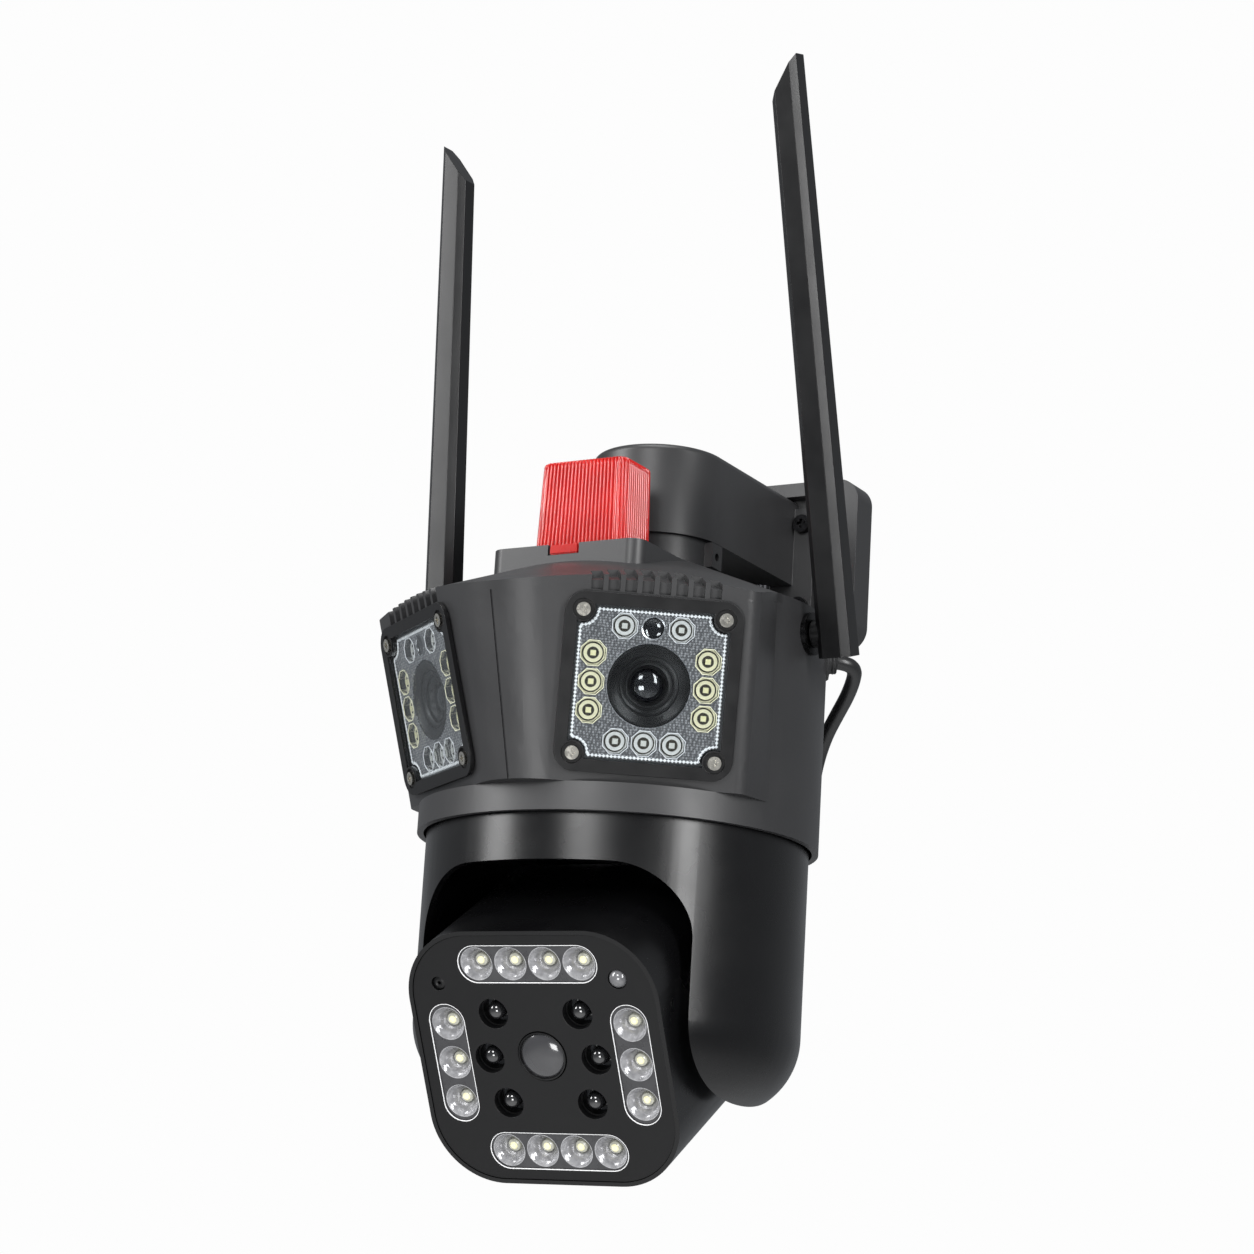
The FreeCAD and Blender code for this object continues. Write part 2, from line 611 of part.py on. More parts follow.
def make_bay_groups():
    """Pieces that both bays hold alike; each kind is one node with a solid in either bay."""
    boards, lenses, glasses, image_boards, dies, sensors, screws = [], [], [], [], [], [], []
    for side in SIDES.values():
        frame = bay_frame(side)
        board = cut("bay_board", plate("bay_board_blank", "board_half", "board_half", "3.0", 4.4, 6.0),
                    rod("barrel_hole", "barrel_radius + 0.1", 4, 0, 4, 0, ALONG_Y),
                    *[rod("post_way", "3.7", 4, x, 4, z, ALONG_Y) for x, z in bay_screw_spots()])
        board.Placement = frame
        boards.append(board)
        glass = turned("bay_glass", [
            (0, 4.9), (2.4, 5.1), (4.2, 5.7), ("glass_radius - 0.05", 6.8),
            ("glass_radius - 0.05", 9.0), (0, 9.0)])
        glass.Placement = frame * Placement(Vector(), ALONG_Y)
        glasses.append(glass)
        image_board = plate("bay_sensor", "15.0", "15.0", "2.0", 20.0, 21.4)
        image_board.Placement = frame
        image_boards.append(image_board)
        for x, z in led_spots():
            spot = Placement(Vector(x, 1.7, z), ALONG_Y * Rotation(Z_AXIS, 22.5))
            prism = primitive("Prism", "led_prism", spot, Circumradius="led_flat / cos(22.5 deg)")
            prism.Polygon, prism.Height = 8, 2.7
            room = block("die_room", (x - 1.8, x + 1.8), (3.4, 5.0), (z - 1.8, z + 1.8))
            lens = cut("led_lens", prism, room)
            lens.Placement = frame
            lenses.append(lens)
        for x, z in led_spots():
            die = block("die", (-1.7, 1.7), (0, 0.9), (-1.7, 1.7))
            die.Placement = frame * shift(x - 1.7, 3.5, z - 1.7)
            dies.append(die)
        eye = rod("light_sensor", "3.0", 2.2)
        eye.Placement = frame * Placement(Vector(0, 2.2, size("led_ring")), ALONG_Y)
        sensors.append(eye)
        for x, z in bay_screw_spots():
            screws.append(screw("window_screw", frame * Placement(Vector(x, 0.5, z), ALONG_Y),
                                head=2.15, head_tall=1.2, shank=1.25, length=8.0, drive=1.1))
    keep(group("bay_board_group", boards), "bay_led_boards")
    keep(group("bay_lens_group", lenses), "bay_led_lenses")
    keep(group("bay_glass_group", glasses), "bay_lens_glasses")
    keep(group("bay_sensor_group", image_boards), "bay_sensor_boards")
    keep(group("die_group", dies), "bay_led_dies")
    keep(group("light_sensor_group", sensors), "bay_light_sensors")
    keep(group("window_screw_group", screws), "window_screws")


# ---------------------------------------------------------------- strobe

def make_strobe():
    low, high, wall = size("deck_high"), size("lamp_high"), size("lens_wall")

    def outline(half, front, back, height, corner):
        corners = [(-half, back, corner), (-half, front, corner), (half, front, corner),
                   (half, back, corner)]
        return round_wire(corners, height)

    def tapered(inset, top):
        half_low, half_high = size("lamp_half_low") - inset, size("lamp_half_high") - inset
        front, back = -size("lamp_front") + inset, -size("lamp_back") - inset
        return Part.makeLoft([outline(half_low, front, back, low, 4.0 - inset),
                              outline(half_high, front + 0.8, back - 0.8, top, 4.0 - inset)],
                             True, True)

    lens = tapered(0, high).cut(tapered(wall, high - wall))
    keep(modelled("strobe_shell", lens, HOUSING), "strobe_lens")
    board = block("strobe_plate", (-12.0, 12.0), (-36.0, -20.0), (low, low + 1.6))
    keep(board, "strobe_board", HOUSING * shift(-12.0, -36.0, low))
    lamps = []
    for x in (-8.0, 0.0, 8.0):
        for y in (-32.0, -24.0):
            lamps.append(rod("strobe_lamp", "2.5", 6.0, x, y, low + 1.6))
    keep(group("strobe_lamp_group", lamps), "strobe_leds", HOUSING)


# ---------------------------------------------------------------- electronics in the housing

STANDOFF_SPOTS = [(-31.0, -15.0), (31.0, -15.0), (-31.0, 37.0), (31.0, 37.0)]
BOARD_HEIGHT = 50.0


def make_electronics():
    floor = size("bay_floor") + size("floor_thick")
    board = block("circuit", (-36.0, 36.0), (-20.0, 42.0), (BOARD_HEIGHT, BOARD_HEIGHT + 1.6))
    chips = [block("processor", (-9.0, 9.0), (-4.0, 14.0), (BOARD_HEIGHT + 1.6, BOARD_HEIGHT + 9.0)),
             block("socket", (16.0, 30.0), (2.0, 14.0), (BOARD_HEIGHT + 1.6, BOARD_HEIGHT + 7.0)),
             block("coil", (-28.0, -18.0), (16.0, 26.0), (BOARD_HEIGHT + 1.6, BOARD_HEIGHT + 6.0))]
    holes = [rod("board_hole", "1.6", 4, x, y, BOARD_HEIGHT - 1) for x, y in STANDOFF_SPOTS]
    keep(cut("circuit_cut", joined("circuit_all", [board] + chips), *holes), "main_board", HOUSING)
    posts = [rod("standoff", "2.6", BOARD_HEIGHT - floor, x, y, floor) for x, y in STANDOFF_SPOTS]
    keep(group("standoff_group", posts), "board_standoffs", HOUSING)
    screws = [screw("board_screw", HOUSING * Placement(Vector(x, y, BOARD_HEIGHT + 1.6),
                                                       Rotation(X_AXIS, 180)),
                    head=2.6, head_tall=1.6, shank=1.5, length=1.6, drive=1.1)
              for x, y in STANDOFF_SPOTS]
    keep(group("board_screw_group", screws), "board_screws")
    cone = primitive("Cone", "speaker_cone", Radius1="13.5", Radius2="8.0", Height="6.0")
    magnet = rod("speaker_magnet", "8.0", 5.0, 0, 0, 6.0)
    speaker = joined("speaker_all", [cone, magnet])
    keep(speaker, "speaker", HOUSING * Placement(Vector(-54.0, 10.0, 34.0), ALONG_X))


# ---------------------------------------------------------------- pan drive

def gear(teeth, bore, low, high, first_tooth):
    """A spur gear of straight-sided teeth with play; first_tooth is a tooth's angle in degrees."""
    pitch, module = 2 * math.pi / teeth, size("tooth_module")
    root, tip = module * (teeth / 2 - 1.15), module * (teeth / 2 + 0.85)
    points = []
    for index in range(int(teeth)):
        middle = math.radians(first_tooth) + index * pitch
        for radius, share in ((root, -0.28), (tip, -0.11), (tip, 0.11), (root, 0.28)):
            angle = middle + share * pitch
            points.append(Vector(radius * math.cos(angle), radius * math.sin(angle), low))
    wheel = Part.Face(Part.makePolygon(points + points[:1])).extrude(Vector(0, 0, high - low))
    return wheel.cut(disc(bore, low - 1, high + 1)) if bore else wheel


def gear_distance(teeth):
    return size("tooth_module") * (teeth + size("pinion_teeth")) / 2 + size("mesh_play")


def make_pan_drive():
    low = size("bay_floor") + size("floor_thick") + 0.6
    reach, half_tooth = gear_distance(size("pan_teeth")), 180.0 / size("pinion_teeth")
    wheel = gear(size("pan_teeth"), size("neck_radius"), low, low + 4.0, 90.0)
    keep(modelled("pan_wheel", wheel, HOUSING), "pan_gear")
    clip = cut("clip", rod("clip_blank", "neck_radius + 4", 1.0, z=low + 4.1),
               rod("clip_bore", "neck_radius", 3.0, z=low + 3))
    keep(clip, "neck_clip", HOUSING)
    pinion = gear(size("pinion_teeth"), 0, low + 0.3, low + 3.7, -90.0 + half_tooth)
    pinion = pinion.fuse(disc(2.5, low + 3.0, low + 10.0))
    keep(modelled("pan_pinion_solid", pinion, HOUSING * shift(y=reach)), "pan_pinion")
    bracket_low = low + 4.6
    deck = block("motor_deck", (-20.0, 20.0), (19.0, 50.0), (bracket_low, bracket_low + 1.6))
    legs = [block("motor_leg", x, (42.0, 50.0), (size("bay_floor") + size("floor_thick"),
                                                 bracket_low)) for x in ((-20.0, -17.0), (17.0, 20.0))]
    hole = rod("motor_hole", "4.6", 4.0, 0, reach, bracket_low - 1)
    keep(cut("motor_bracket_cut", joined("motor_bracket_all", [deck] + legs), hole),
         "motor_bracket", HOUSING)
    can = rod("motor_can", "14.0", 19.0, 0, reach, bracket_low + 1.6)
    boss = rod("motor_boss", "4.5", 2.0, 0, reach, bracket_low - 0.4)
    bore = rod("motor_bore", "2.5 + running_gap", 12.0, 0, reach, bracket_low - 2)
    keep(cut("motor_cut", joined("motor_all", [can, boss]), bore), "pan_motor", HOUSING)


# ---------------------------------------------------------------- antennas

def antenna_frame(side_name):
    side, lean = SIDES[side_name], size(side_name + "_lean")
    spot = shift(side * size("antenna_x"), size("jack_y"), size("jack_height"))
    return HOUSING * spot * turn(X_AXIS, lean)


def make_antenna(side_name):
    """A paddle blade whose foot turns on the jack's stub."""
    side = SIDES[side_name]
    low, high = -size("antenna_low"), size("antenna_high")

    def section(half, height):
        corner = 0.42 * half
        points = [(half, half - corner), (half - corner, half), (corner - half, half),
                  (-half, half - corner), (-half, corner - half), (corner - half, -half),
                  (half - corner, -half), (half, corner - half)]
        return Part.makePolygon([Vector(x, y, height) for x, y in points + points[:1]])

    base, tip, slant = size("antenna_base"), size("antenna_tip"), size("antenna_slant")
    blade = Part.makeLoft([section(base, low), section(base, low + 12), section(tip, high)],
                          True, True)
    sill = [Vector(-side * 2 * tip, -20, high - 1.5 * slant), Vector(side * 2 * tip, -20, high + slant / 2),
            Vector(-side * 2 * tip, -20, high + slant)]
    wedge = Part.Face(Part.makePolygon(sill + sill[:1])).extrude(Vector(0, 40, 0))
    blade = blade.cut(wedge)
    inner = 67.8 - size("antenna_x")
    barrel = Part.makeCylinder(4.6, -inner, Vector(side * inner, 0, 0), X_AXIS * side)
    bore = Part.makeCylinder(2.5 + size("running_gap"), 7.0, Vector(side * (inner - 1), 0, 0),
                             X_AXIS * side)
    keep(modelled(side_name + "_blade", blade.fuse(barrel).cut(bore), antenna_frame(side_name)),
         side_name + "_antenna")


def make_antenna_jacks():
    """Washer, threaded stem and stub, seated on the housing's round flanks."""
    jacks = []
    for side in SIDES.values():
        stand = Placement(Vector(side * 60.0, size("jack_y"), size("jack_height")),
                          Rotation(Y_AXIS, side * 90))
        way = Placement(Vector(side * 56.0, size("jack_y"), size("jack_height")),
                        Rotation(Y_AXIS, side * 90))
        whole = joined("jack_all", [rod("jack_washer", "7.0", 3.5, z=4.0), rod("jack_thread", "3.2", 4.5),
                                    rod("jack_stub", "2.5", 5.6, z=7.5)])
        whole.Placement = stand
        stem_way = rod("jack_way", "3.2", 14.0)
        stem_way.Placement = way
        wall = cut("jack_room", rod("jack_wall", "skirt_radius", 60.0, z=30.0), stem_way)
        jacks.append(cut("jack_saddle", whole, wall))
    keep(group("jack_group", jacks), "antenna_jacks", HOUSING)


# ---------------------------------------------------------------- yoke

def drum(inset, high):
    """An upright cylinder with a deeply rounded foot."""
    low = size("yoke_low") + inset
    blank = disc(size("yoke_radius") - inset, low, high)
    foot = [edge for edge in blank.Edges if abs(edge.CenterOfMass.z - low) < 0.01]
    return blank.makeFillet(size("yoke_round") - inset, foot)


def make_yoke():
    slot = size("slot_half")
    high, ceiling, deep = size("yoke_high"), size("chamber_high"), -160.0
    inner = drum(size("yoke_wall"), ceiling)
    body = drum(0, high)
    body = body.cut(inner.common(slab((-slot, slot), (-80, 80), (deep, ceiling))))
    opening = slab((-slot, slot), (-80, 80), (deep, size("slot_high")))
    arch = [e for e in opening.Edges if abs(e.CenterOfMass.z - size("slot_high")) < 0.01
            and abs(abs(e.CenterOfMass.x) - slot) < 0.01]
    body = body.cut(opening.makeFillet(size("slot_round"), arch))
    pocket = slot + size("ear_wall")
    for x in ((-90, -pocket), (pocket, 90)):
        body = body.cut(inner.common(slab(x, (-80, 80), (deep, ceiling))))
    axle = Part.makeCylinder(size("axle_radius"), 2 * pocket + 2,
                             Vector(-pocket - 1, 0, size("tilt_height")), X_AXIS)
    body = body.cut(axle)
    neck = disc(size("neck_radius"), high - 1, size("neck_high"))
    body = body.fuse(neck).cut(disc(size("neck_bore"), ceiling - 1, size("neck_high") + 1))
    keep(modelled("yoke_solid", body.removeSplitter(), YOKE), "yoke_shell")


def make_tilt_axles():
    axles = []
    inner = {-1: 34.0, 1: 38.0}
    for side in SIDES.values():
        reach = size("slot_half") + 6.0
        stand = Placement(Vector(side * inner[side], 0, 0), Rotation(Y_AXIS, side * 90))
        shaft = rod("axle_shaft", "axle_radius", reach - inner[side])
        flange = rod("axle_flange", "axle_radius + 3", 2.0,
                     z=size("slot_half") + size("ear_wall") - inner[side])
        stub = cut("axle", joined("axle_all", [shaft, flange]), rod("axle_bore", "2.5", 40.0, z=-5))
        stub.Placement = TILT_AXIS * stand
        axles.append(stub)
    keep(group("axle_group", axles), "tilt_axles")


# ---------------------------------------------------------------- head

CUP_SPOTS = ([(x * size("cup_pitch_x"), z * size("cup_row")) for z in (-1, 1)
              for x in (-1.5, -0.5, 0.5, 1.5)]
             + [(x * size("cup_row"), z * size("cup_pitch_z") - 1.8) for x in (-1, 1)
                for z in (-1, 0, 1)])
IR_SPOTS = [(-14.5, 15.0), (14.5, 15.0), (-18.4, 0.0), (18.4, 0.0), (-14.5, -15.0), (14.5, -15.0)]
EYE_SPOT, MIC_SPOT = (30.0, 26.5), (-32.0, 25.0)


def head_blank(inset, front):
    """The head's outside: a rounded square, half round behind, with softened rear corners."""
    half, tall = size("head_half") - inset, size("head_half_tall") - inset
    corner, rear = size("head_corner") - inset, 16.0 - inset
    face = round_wire([(-half, -tall, corner), (half, -tall, corner), (half, tall, corner),
                       (-half, tall, corner)], 0)
    front_view = Part.Face(face).extrude(Vector(0, 0, front + 60))
    front_view.Placement = Placement(Vector(0, 60, 0), Rotation(X_AXIS, 90))
    profile = Part.makeCylinder(tall, 2 * half, Vector(-half, 0, 0), X_AXIS)
    side_view = profile.fuse(slab((-half, half), (-front, 0), (-tall, tall)))
    plan = round_wire([(-half, -front, 0.01), (half, -front, 0.01), (half, tall, rear),
                       (-half, tall, rear)], -60)
    top_view = Part.Face(plan).extrude(Vector(0, 0, 120))
    return front_view.common(side_view).common(top_view)


def make_head_shell():
    front, wall = size("head_front"), size("head_wall")
    body = head_blank(0, front).cut(head_blank(wall, front + 2))
    rim = head_blank(size("face_inset"), front + 2)
    body = body.cut(rim.common(slab((-60, 60), (-front - 5, -front + size("face_thick") + 0.3),
                                    (-60, 60))))
    bush = Part.makeCylinder(7.5, 120, Vector(-60, 0, 0), X_AXIS)
    card_way = slab((-11, 11), (4, 22), (-50, -30))
    for x in (-11.5, 11.5):
        body = body.cut(Part.makeCylinder(1.1, 12, hatch_point(x, 38.0), hatch_point(0, 1.0)))
    keep(modelled("head_shell_solid", body.cut(bush).cut(card_way), HEAD), "head_shell")


def hatch_point(x, reach):
    """A point on the ray through the middle of the card hatch."""
    angle = math.radians(-70.0)
    return Vector(x, reach * math.cos(angle), reach * math.sin(angle))


def make_card_hatch():
    """A curved cover on the head's underside, over the card slot."""
    tall = size("head_half_tall")
    ring = Part.makeCylinder(tall + 1.6, 30, Vector(-15, 0, 0), X_AXIS).cut(
        Part.makeCylinder(tall, 32, Vector(-16, 0, 0), X_AXIS))
    sector = Part.makePolygon([Vector(-15, 0, 0), Vector(-15, 4, -90), Vector(-15, 62, -90),
                               Vector(-15, 0, 0)])
    hatch = ring.common(Part.Face(sector).extrude(Vector(30, 0, 0)))
    screws = []
    for x in (-11.5, 11.5):
        hatch = hatch.cut(Part.makeCylinder(1.1, 12, hatch_point(x, 38.0), hatch_point(0, 1.0)))
        spot = Placement(hatch_point(x, tall + 1.6), Rotation(Z_AXIS, hatch_point(0, -1.0)))
        screws.append(screw("hatch_screw", HEAD * spot, head=1.9, head_tall=1.0, shank=1.05,
                            length=5.0, drive=0.8))
    keep(modelled("hatch_solid", hatch, HEAD), "card_hatch")
    keep(group("hatch_screw_group", screws), "hatch_screws")


def stadium(name, half_x, half_z, near, far, x=0.0, z=0.0):
    """A slot with round ends; half_x and half_z are formulas."""
    item = plate(name, half_x, half_z, "min(%s; %s) - 0.01" % (half_x, half_z), near, far)
    item.Placement = shift(x=x, z=z)
    return item


def cup_strips(name, play, near, far):
    """The four rows of lamp cups as solids, smaller all round by play."""
    row, side = size("cup_row"), 1.8
    long_x, long_z = "24.0 - %s" % play, "20.0 - %s" % play
    thin = "6.3 - %s" % play
    return [stadium(name + "_top", long_x, thin, near, far, z=row),
            stadium(name + "_bottom", long_x, thin, near, far, z=-row),
            stadium(name + "_left", thin, long_z, near, far, x=-row, z=-side),
            stadium(name + "_right", thin, long_z, near, far, x=row, z=-side)]


def make_head_face():
    front, back = -size("head_front") + 0.3, -size("head_front") + 0.3 + size("face_thick")
    blank = plate("face_blank", "head_half - face_inset - 0.1", "head_half_tall - face_inset - 0.1",
                  "head_corner - face_inset - 0.1", front, back)
    holes = cup_strips("face_slot", "0.0", front - 1, back + 1)
    holes += [rod("ir_way", "ir_hole", 6, x, front - 1, z, ALONG_Y) for x, z in IR_SPOTS]
    holes.append(rod("lens_way", "8.3", 6, 0, front - 1, 0.9, ALONG_Y))
    holes.append(rod("eye_way", "3.1", 6, EYE_SPOT[0], front - 1, EYE_SPOT[1], ALONG_Y))
    holes.append(rod("mic_way", "2.3", 6, MIC_SPOT[0], front - 1, MIC_SPOT[1], ALONG_Y))
    keep(cut("face_cut", blank, *holes), "head_face", HEAD)

    deep = 5.9
    cups = [primitive("Cone", "cup", Placement(Vector(x, front + 0.7, z), ALONG_Y),
                      Radius1="cup_radius", Radius2="2.2", Height=str(deep + 0.1))
            for x, z in CUP_SPOTS]
    strips = cup_strips("cup_strip", "0.15", front + 0.8, front + 0.8 + deep)
    keep(cut("reflector_cut", group("strip_group", strips), *cups), "head_reflectors", HEAD)
    board_near = front + 0.8 + deep
    board = plate("head_board_blank", "38.5", "38.0", "20.0", board_near, board_near + 1.4)
    way = rod("head_lens_way", "8.1", 6, 0, board_near - 1, 0.9, ALONG_Y)
    keep(cut("head_board_cut", board, way), "head_led_board", HEAD)
    dies = [rod("head_die", "1.9", 1.2, x, board_near - 1.2, z, ALONG_Y) for x, z in CUP_SPOTS]
    keep(group("head_die_group", dies), "head_led_dies", HEAD)
    lamps = []
    for x, z in IR_SPOTS:
        stem = rod("ir_stem", "2.5", board_near - front - 2.5, x, front + 2.5, z, ALONG_Y)
        dome = primitive("Sphere", "ir_dome", shift(x, front + 2.5, z), Radius="2.3")
        lamps.append(joined("ir_lamp", [stem, dome]))
    keep(group("ir_lamp_group", lamps), "head_ir_leds", HEAD)
    eye = rod("head_eye", "3.0", board_near - front - 0.4, EYE_SPOT[0], front + 0.4, EYE_SPOT[1],
              ALONG_Y)
    keep(eye, "head_light_sensor", HEAD * eye.Placement)
    mic = rod("head_mic_can", "2.2", board_near - front - 0.9, MIC_SPOT[0], front + 0.9, MIC_SPOT[1],
              ALONG_Y)
    keep(mic, "head_microphone", HEAD * mic.Placement)


def make_head_lens():
    stand = HEAD * Placement(Vector(0, 0, 0.9), ALONG_Y)
    barrel = turned("head_barrel", [
        (8.0, "0.2 - head_front"), (8.0, -20), (3.6, -20), (3.6, -42), (6.6, -42),
        (6.6, "1.4 - head_front"), (7.4, "0.2 - head_front")])
    keep(barrel, "head_lens_barrel", stand)
    glass = turned("head_glass", [
        (0, "-1.2 - head_front"), (3.0, "-0.9 - head_front"), (5.4, "0.1 - head_front"),
        (6.55, "1.2 - head_front"), (6.55, -42), (0, -42)])
    keep(glass, "head_lens_glass", stand)
    keep(plate("head_sensor", "14.0", "14.0", "2.0", -20.0, -18.6), "head_sensor_board", HEAD)


def make_tilt_drive():
    reach, half_tooth = gear_distance(size("tilt_teeth")), 180.0 / size("pinion_teeth")
    across = Placement(Vector(-38.4, 0, 0), ALONG_X)
    wheel = gear(size("tilt_teeth"), size("axle_radius"), 0, 3.0, 90.0)
    keep(modelled("tilt_wheel", wheel, HEAD * across), "tilt_gear")
    pinion = gear(size("pinion_teeth"), 0, 0.2, 2.8, -90.0 + half_tooth).fuse(disc(1.5, 2.5, 9.0))
    keep(modelled("tilt_pinion_solid", pinion, HEAD * shift(y=reach) * across), "tilt_pinion")
    can = rod("tilt_can", "10.0", 17.0, z=4.0)
    bore = rod("tilt_bore", "1.5 + running_gap", 12.0, z=0.0)
    keep(cut("tilt_motor_cut", can, bore), "tilt_motor", HEAD * shift(y=reach) * across)
    bushes = []
    for side in SIDES.values():
        stand = Placement(Vector(side * 40.0, 0, 0), Rotation(Y_AXIS, side * 90))
        sleeve = joined("bush_all", [rod("bush", "7.5", 4.0), rod("bush_flange", "9.5", 2.4, z=3.6)])
        ring = cut("bush_ring", sleeve, rod("bush_bore", "axle_radius + running_gap", 12.0, z=-2))
        ring.Placement = HEAD * stand
        bushes.append(ring)
    keep(group("bush_group", bushes), "tilt_bushes")


# ---------------------------------------------------------------- cable

def make_gland():
    """A ribbed gland screwed into the housing's rear flank, with a soft nose for the cable."""
    base, reach = 60.0, size("gland_reach")
    direction = gland_spot(1.0, 0.0)
    stand = Placement(gland_spot(base), Rotation(Z_AXIS, direction))
    shape = [rod("gland_body", "gland_radius", reach - 2.5 - base),
             rod("gland_nose", "4.4", reach - base)]
    nose_bore = rod("gland_bore", "cable_radius", 40.0, z=-10)
    keep(cut("gland_cut", joined("gland_all", shape), nose_bore), "cable_gland", HOUSING * stand)


def cable_route():
    """The pigtail's lead, from the gland's nose round the housing's back to the tied coil."""
    return [gland_spot(size("gland_reach") - 2.0), Vector(64.0, 34.3, 66.9), Vector(64.9, 39.4, 65.6),
            Vector(61.6, 44.9, 62.9), Vector(56.6, 51.0, 59.2), Vector(49.6, 58.0, 54.6),
            Vector(42.0, 65.3, 48.8), Vector(36.0, 71.3, 39.8), Vector(33.5, 73.6, 28.0)]


def smooth_path(points):
    """Straight runs joined by the largest tangent arcs that the runs allow."""
    edges, place = [], points[0]
    for before, here, after in zip(points, points[1:], points[2:]):
        back, forth = before - here, after - here
        run = 0.45 * min(back.Length, forth.Length)
        half = back.getAngle(forth) / 2
        radius = run * math.tan(half)
        bisector = (back.normalize() + forth.normalize()).normalize()
        first, second = here + back * run, here + forth * run
        middle = here + bisector * (radius / math.sin(half) - radius)
        edges.append(Part.LineSegment(place, first).toShape())
        edges.append(Part.Arc(first, middle, second).toShape())
        print("cable bend radius %.1f mm" % radius)
        place = second
    edges.append(Part.LineSegment(place, points[-1]).toShape())
    return Part.Wire(edges)


def make_cable():
    path = smooth_path(cable_route())
    start = path.Edges[0]
    ring = Part.Circle(start.valueAt(0), start.tangentAt(0), size("cable_radius")).toShape()
    tube = path.makePipeShell([Part.Wire(ring)], True, False)
    straight = math.pi * size("cable_radius") ** 2 * path.Length
    print("cable lead %.1f mm, volume ratio %.3f" % (path.Length, tube.Volume / straight))
    keep(modelled("lead_tube", tube, HOUSING), "cable_lead")

    radius, half = size("coil_radius"), size("coil_width") / 2
    near = size("coil_back") - size("cable_radius")
    stand = Placement(Vector(0, near, size("coil_height")), ALONG_Y)
    coil = cut("coil_ring", rod("coil_blank", "coil_radius + coil_width / 2", 2 * size("cable_radius")),
               rod("coil_hole", "coil_radius - coil_width / 2", 20.0, z=-5))
    keep(coil, "cable_coil", HOUSING * stand)
    outer = block("tie_outer", (-2.0, 2.0), (near - 1.2, near + 2 * size("cable_radius") + 1.2),
                  (-radius - half - 1.2, half - radius + 1.6))
    inner = block("tie_inner", (-3.0, 3.0), (near, near + 2 * size("cable_radius")),
                  (-radius - half, half - radius + 0.4))
    keep(cut("tie_band", outer, inner), "coil_tie", HOUSING * shift(z=size("coil_height")))
    body = rod("plug_body", "4.6", 15.0, -5.5, size("coil_back"), 0.4, ALONG_X)
    tip = rod("plug_tip", "2.75", 8.0, 9.5, size("coil_back"), 0.4, ALONG_X)
    socket = rod("plug_bore", "1.1", 8.0, 10.0, size("coil_back"), 0.4, ALONG_X)
    keep(cut("plug", joined("plug_all", [body, tip]), socket), "power_plug",
         HOUSING * shift(z=size("coil_height")))


# ---------------------------------------------------------------- the whole camera

def main():
    make_wall_plate()
    make_bracket_arm()
    make_bracket_screws()
    make_upper_housing()
    make_top_cover()
    make_housing_screws()
    for side_name, side in SIDES.items():
        make_bay(side_name, side)
        make_antenna(side_name)
    make_antenna_jacks()
    make_bay_groups()
    make_strobe()
    make_electronics()
    make_pan_drive()
    make_yoke()
    make_tilt_axles()
    make_head_shell()
    make_card_hatch()
    make_head_face()
    make_head_lens()
    make_tilt_drive()
    make_gland()
    make_cable()
    doc.recompute()
    failed = [item.Name for item in doc.Objects if {"Invalid", "Error"} & set(item.State)]
    for node in NODES:
        if node.Shape.isNull() or not node.Shape.isValid() or node.Shape.Volume <= 0:
            failed.append(node.Label)
    if failed:
        raise RuntimeError("failed objects: " + ", ".join(failed))
    os.makedirs("parts", exist_ok=True)
    for node in NODES:
        node.Shape.exportStep("parts/%s.step" % node.Label)
        print("%-22s %8.0f mm3  %d solid(s)" % (node.Label, node.Shape.Volume, len(node.Shape.Solids)))
    print("%d nodes" % len(NODES))


main()
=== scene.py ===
import bmesh
import bpy
import json
import math
from mathutils import Matrix, Vector

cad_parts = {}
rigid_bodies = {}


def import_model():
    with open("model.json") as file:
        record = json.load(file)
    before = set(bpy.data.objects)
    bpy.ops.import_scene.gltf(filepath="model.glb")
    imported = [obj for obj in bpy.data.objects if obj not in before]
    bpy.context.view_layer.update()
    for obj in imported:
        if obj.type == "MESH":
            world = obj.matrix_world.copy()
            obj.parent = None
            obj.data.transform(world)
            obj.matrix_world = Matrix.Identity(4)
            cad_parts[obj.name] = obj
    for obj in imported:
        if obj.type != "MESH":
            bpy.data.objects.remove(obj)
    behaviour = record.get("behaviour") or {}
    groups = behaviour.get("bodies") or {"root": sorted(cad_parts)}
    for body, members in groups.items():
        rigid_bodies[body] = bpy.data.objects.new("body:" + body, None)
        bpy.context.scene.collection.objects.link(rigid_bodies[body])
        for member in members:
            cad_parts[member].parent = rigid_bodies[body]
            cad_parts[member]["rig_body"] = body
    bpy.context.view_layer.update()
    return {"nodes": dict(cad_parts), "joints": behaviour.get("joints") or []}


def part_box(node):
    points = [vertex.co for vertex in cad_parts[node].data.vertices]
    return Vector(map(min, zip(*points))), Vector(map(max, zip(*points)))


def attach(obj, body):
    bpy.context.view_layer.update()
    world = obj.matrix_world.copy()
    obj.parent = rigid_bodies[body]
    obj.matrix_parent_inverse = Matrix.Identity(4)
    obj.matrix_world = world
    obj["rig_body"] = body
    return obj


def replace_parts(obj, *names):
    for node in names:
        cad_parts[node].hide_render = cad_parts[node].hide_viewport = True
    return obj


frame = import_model()
scene = bpy.context.scene

# ---------------------------------------------------------------- studio
# A plain pale studio: a floor well under the camera on its wall, an even pale surround, and soft
# boxes that draw long highlights down the dark plastic.
MM = 0.001
joints = {joint["name"]: joint for joint in frame["joints"]}
HOUSING = Matrix.Translation(joints["pan"]["pos_m"]) @ Matrix.Scale(MM, 4)
scene.view_settings.view_transform = "Standard"

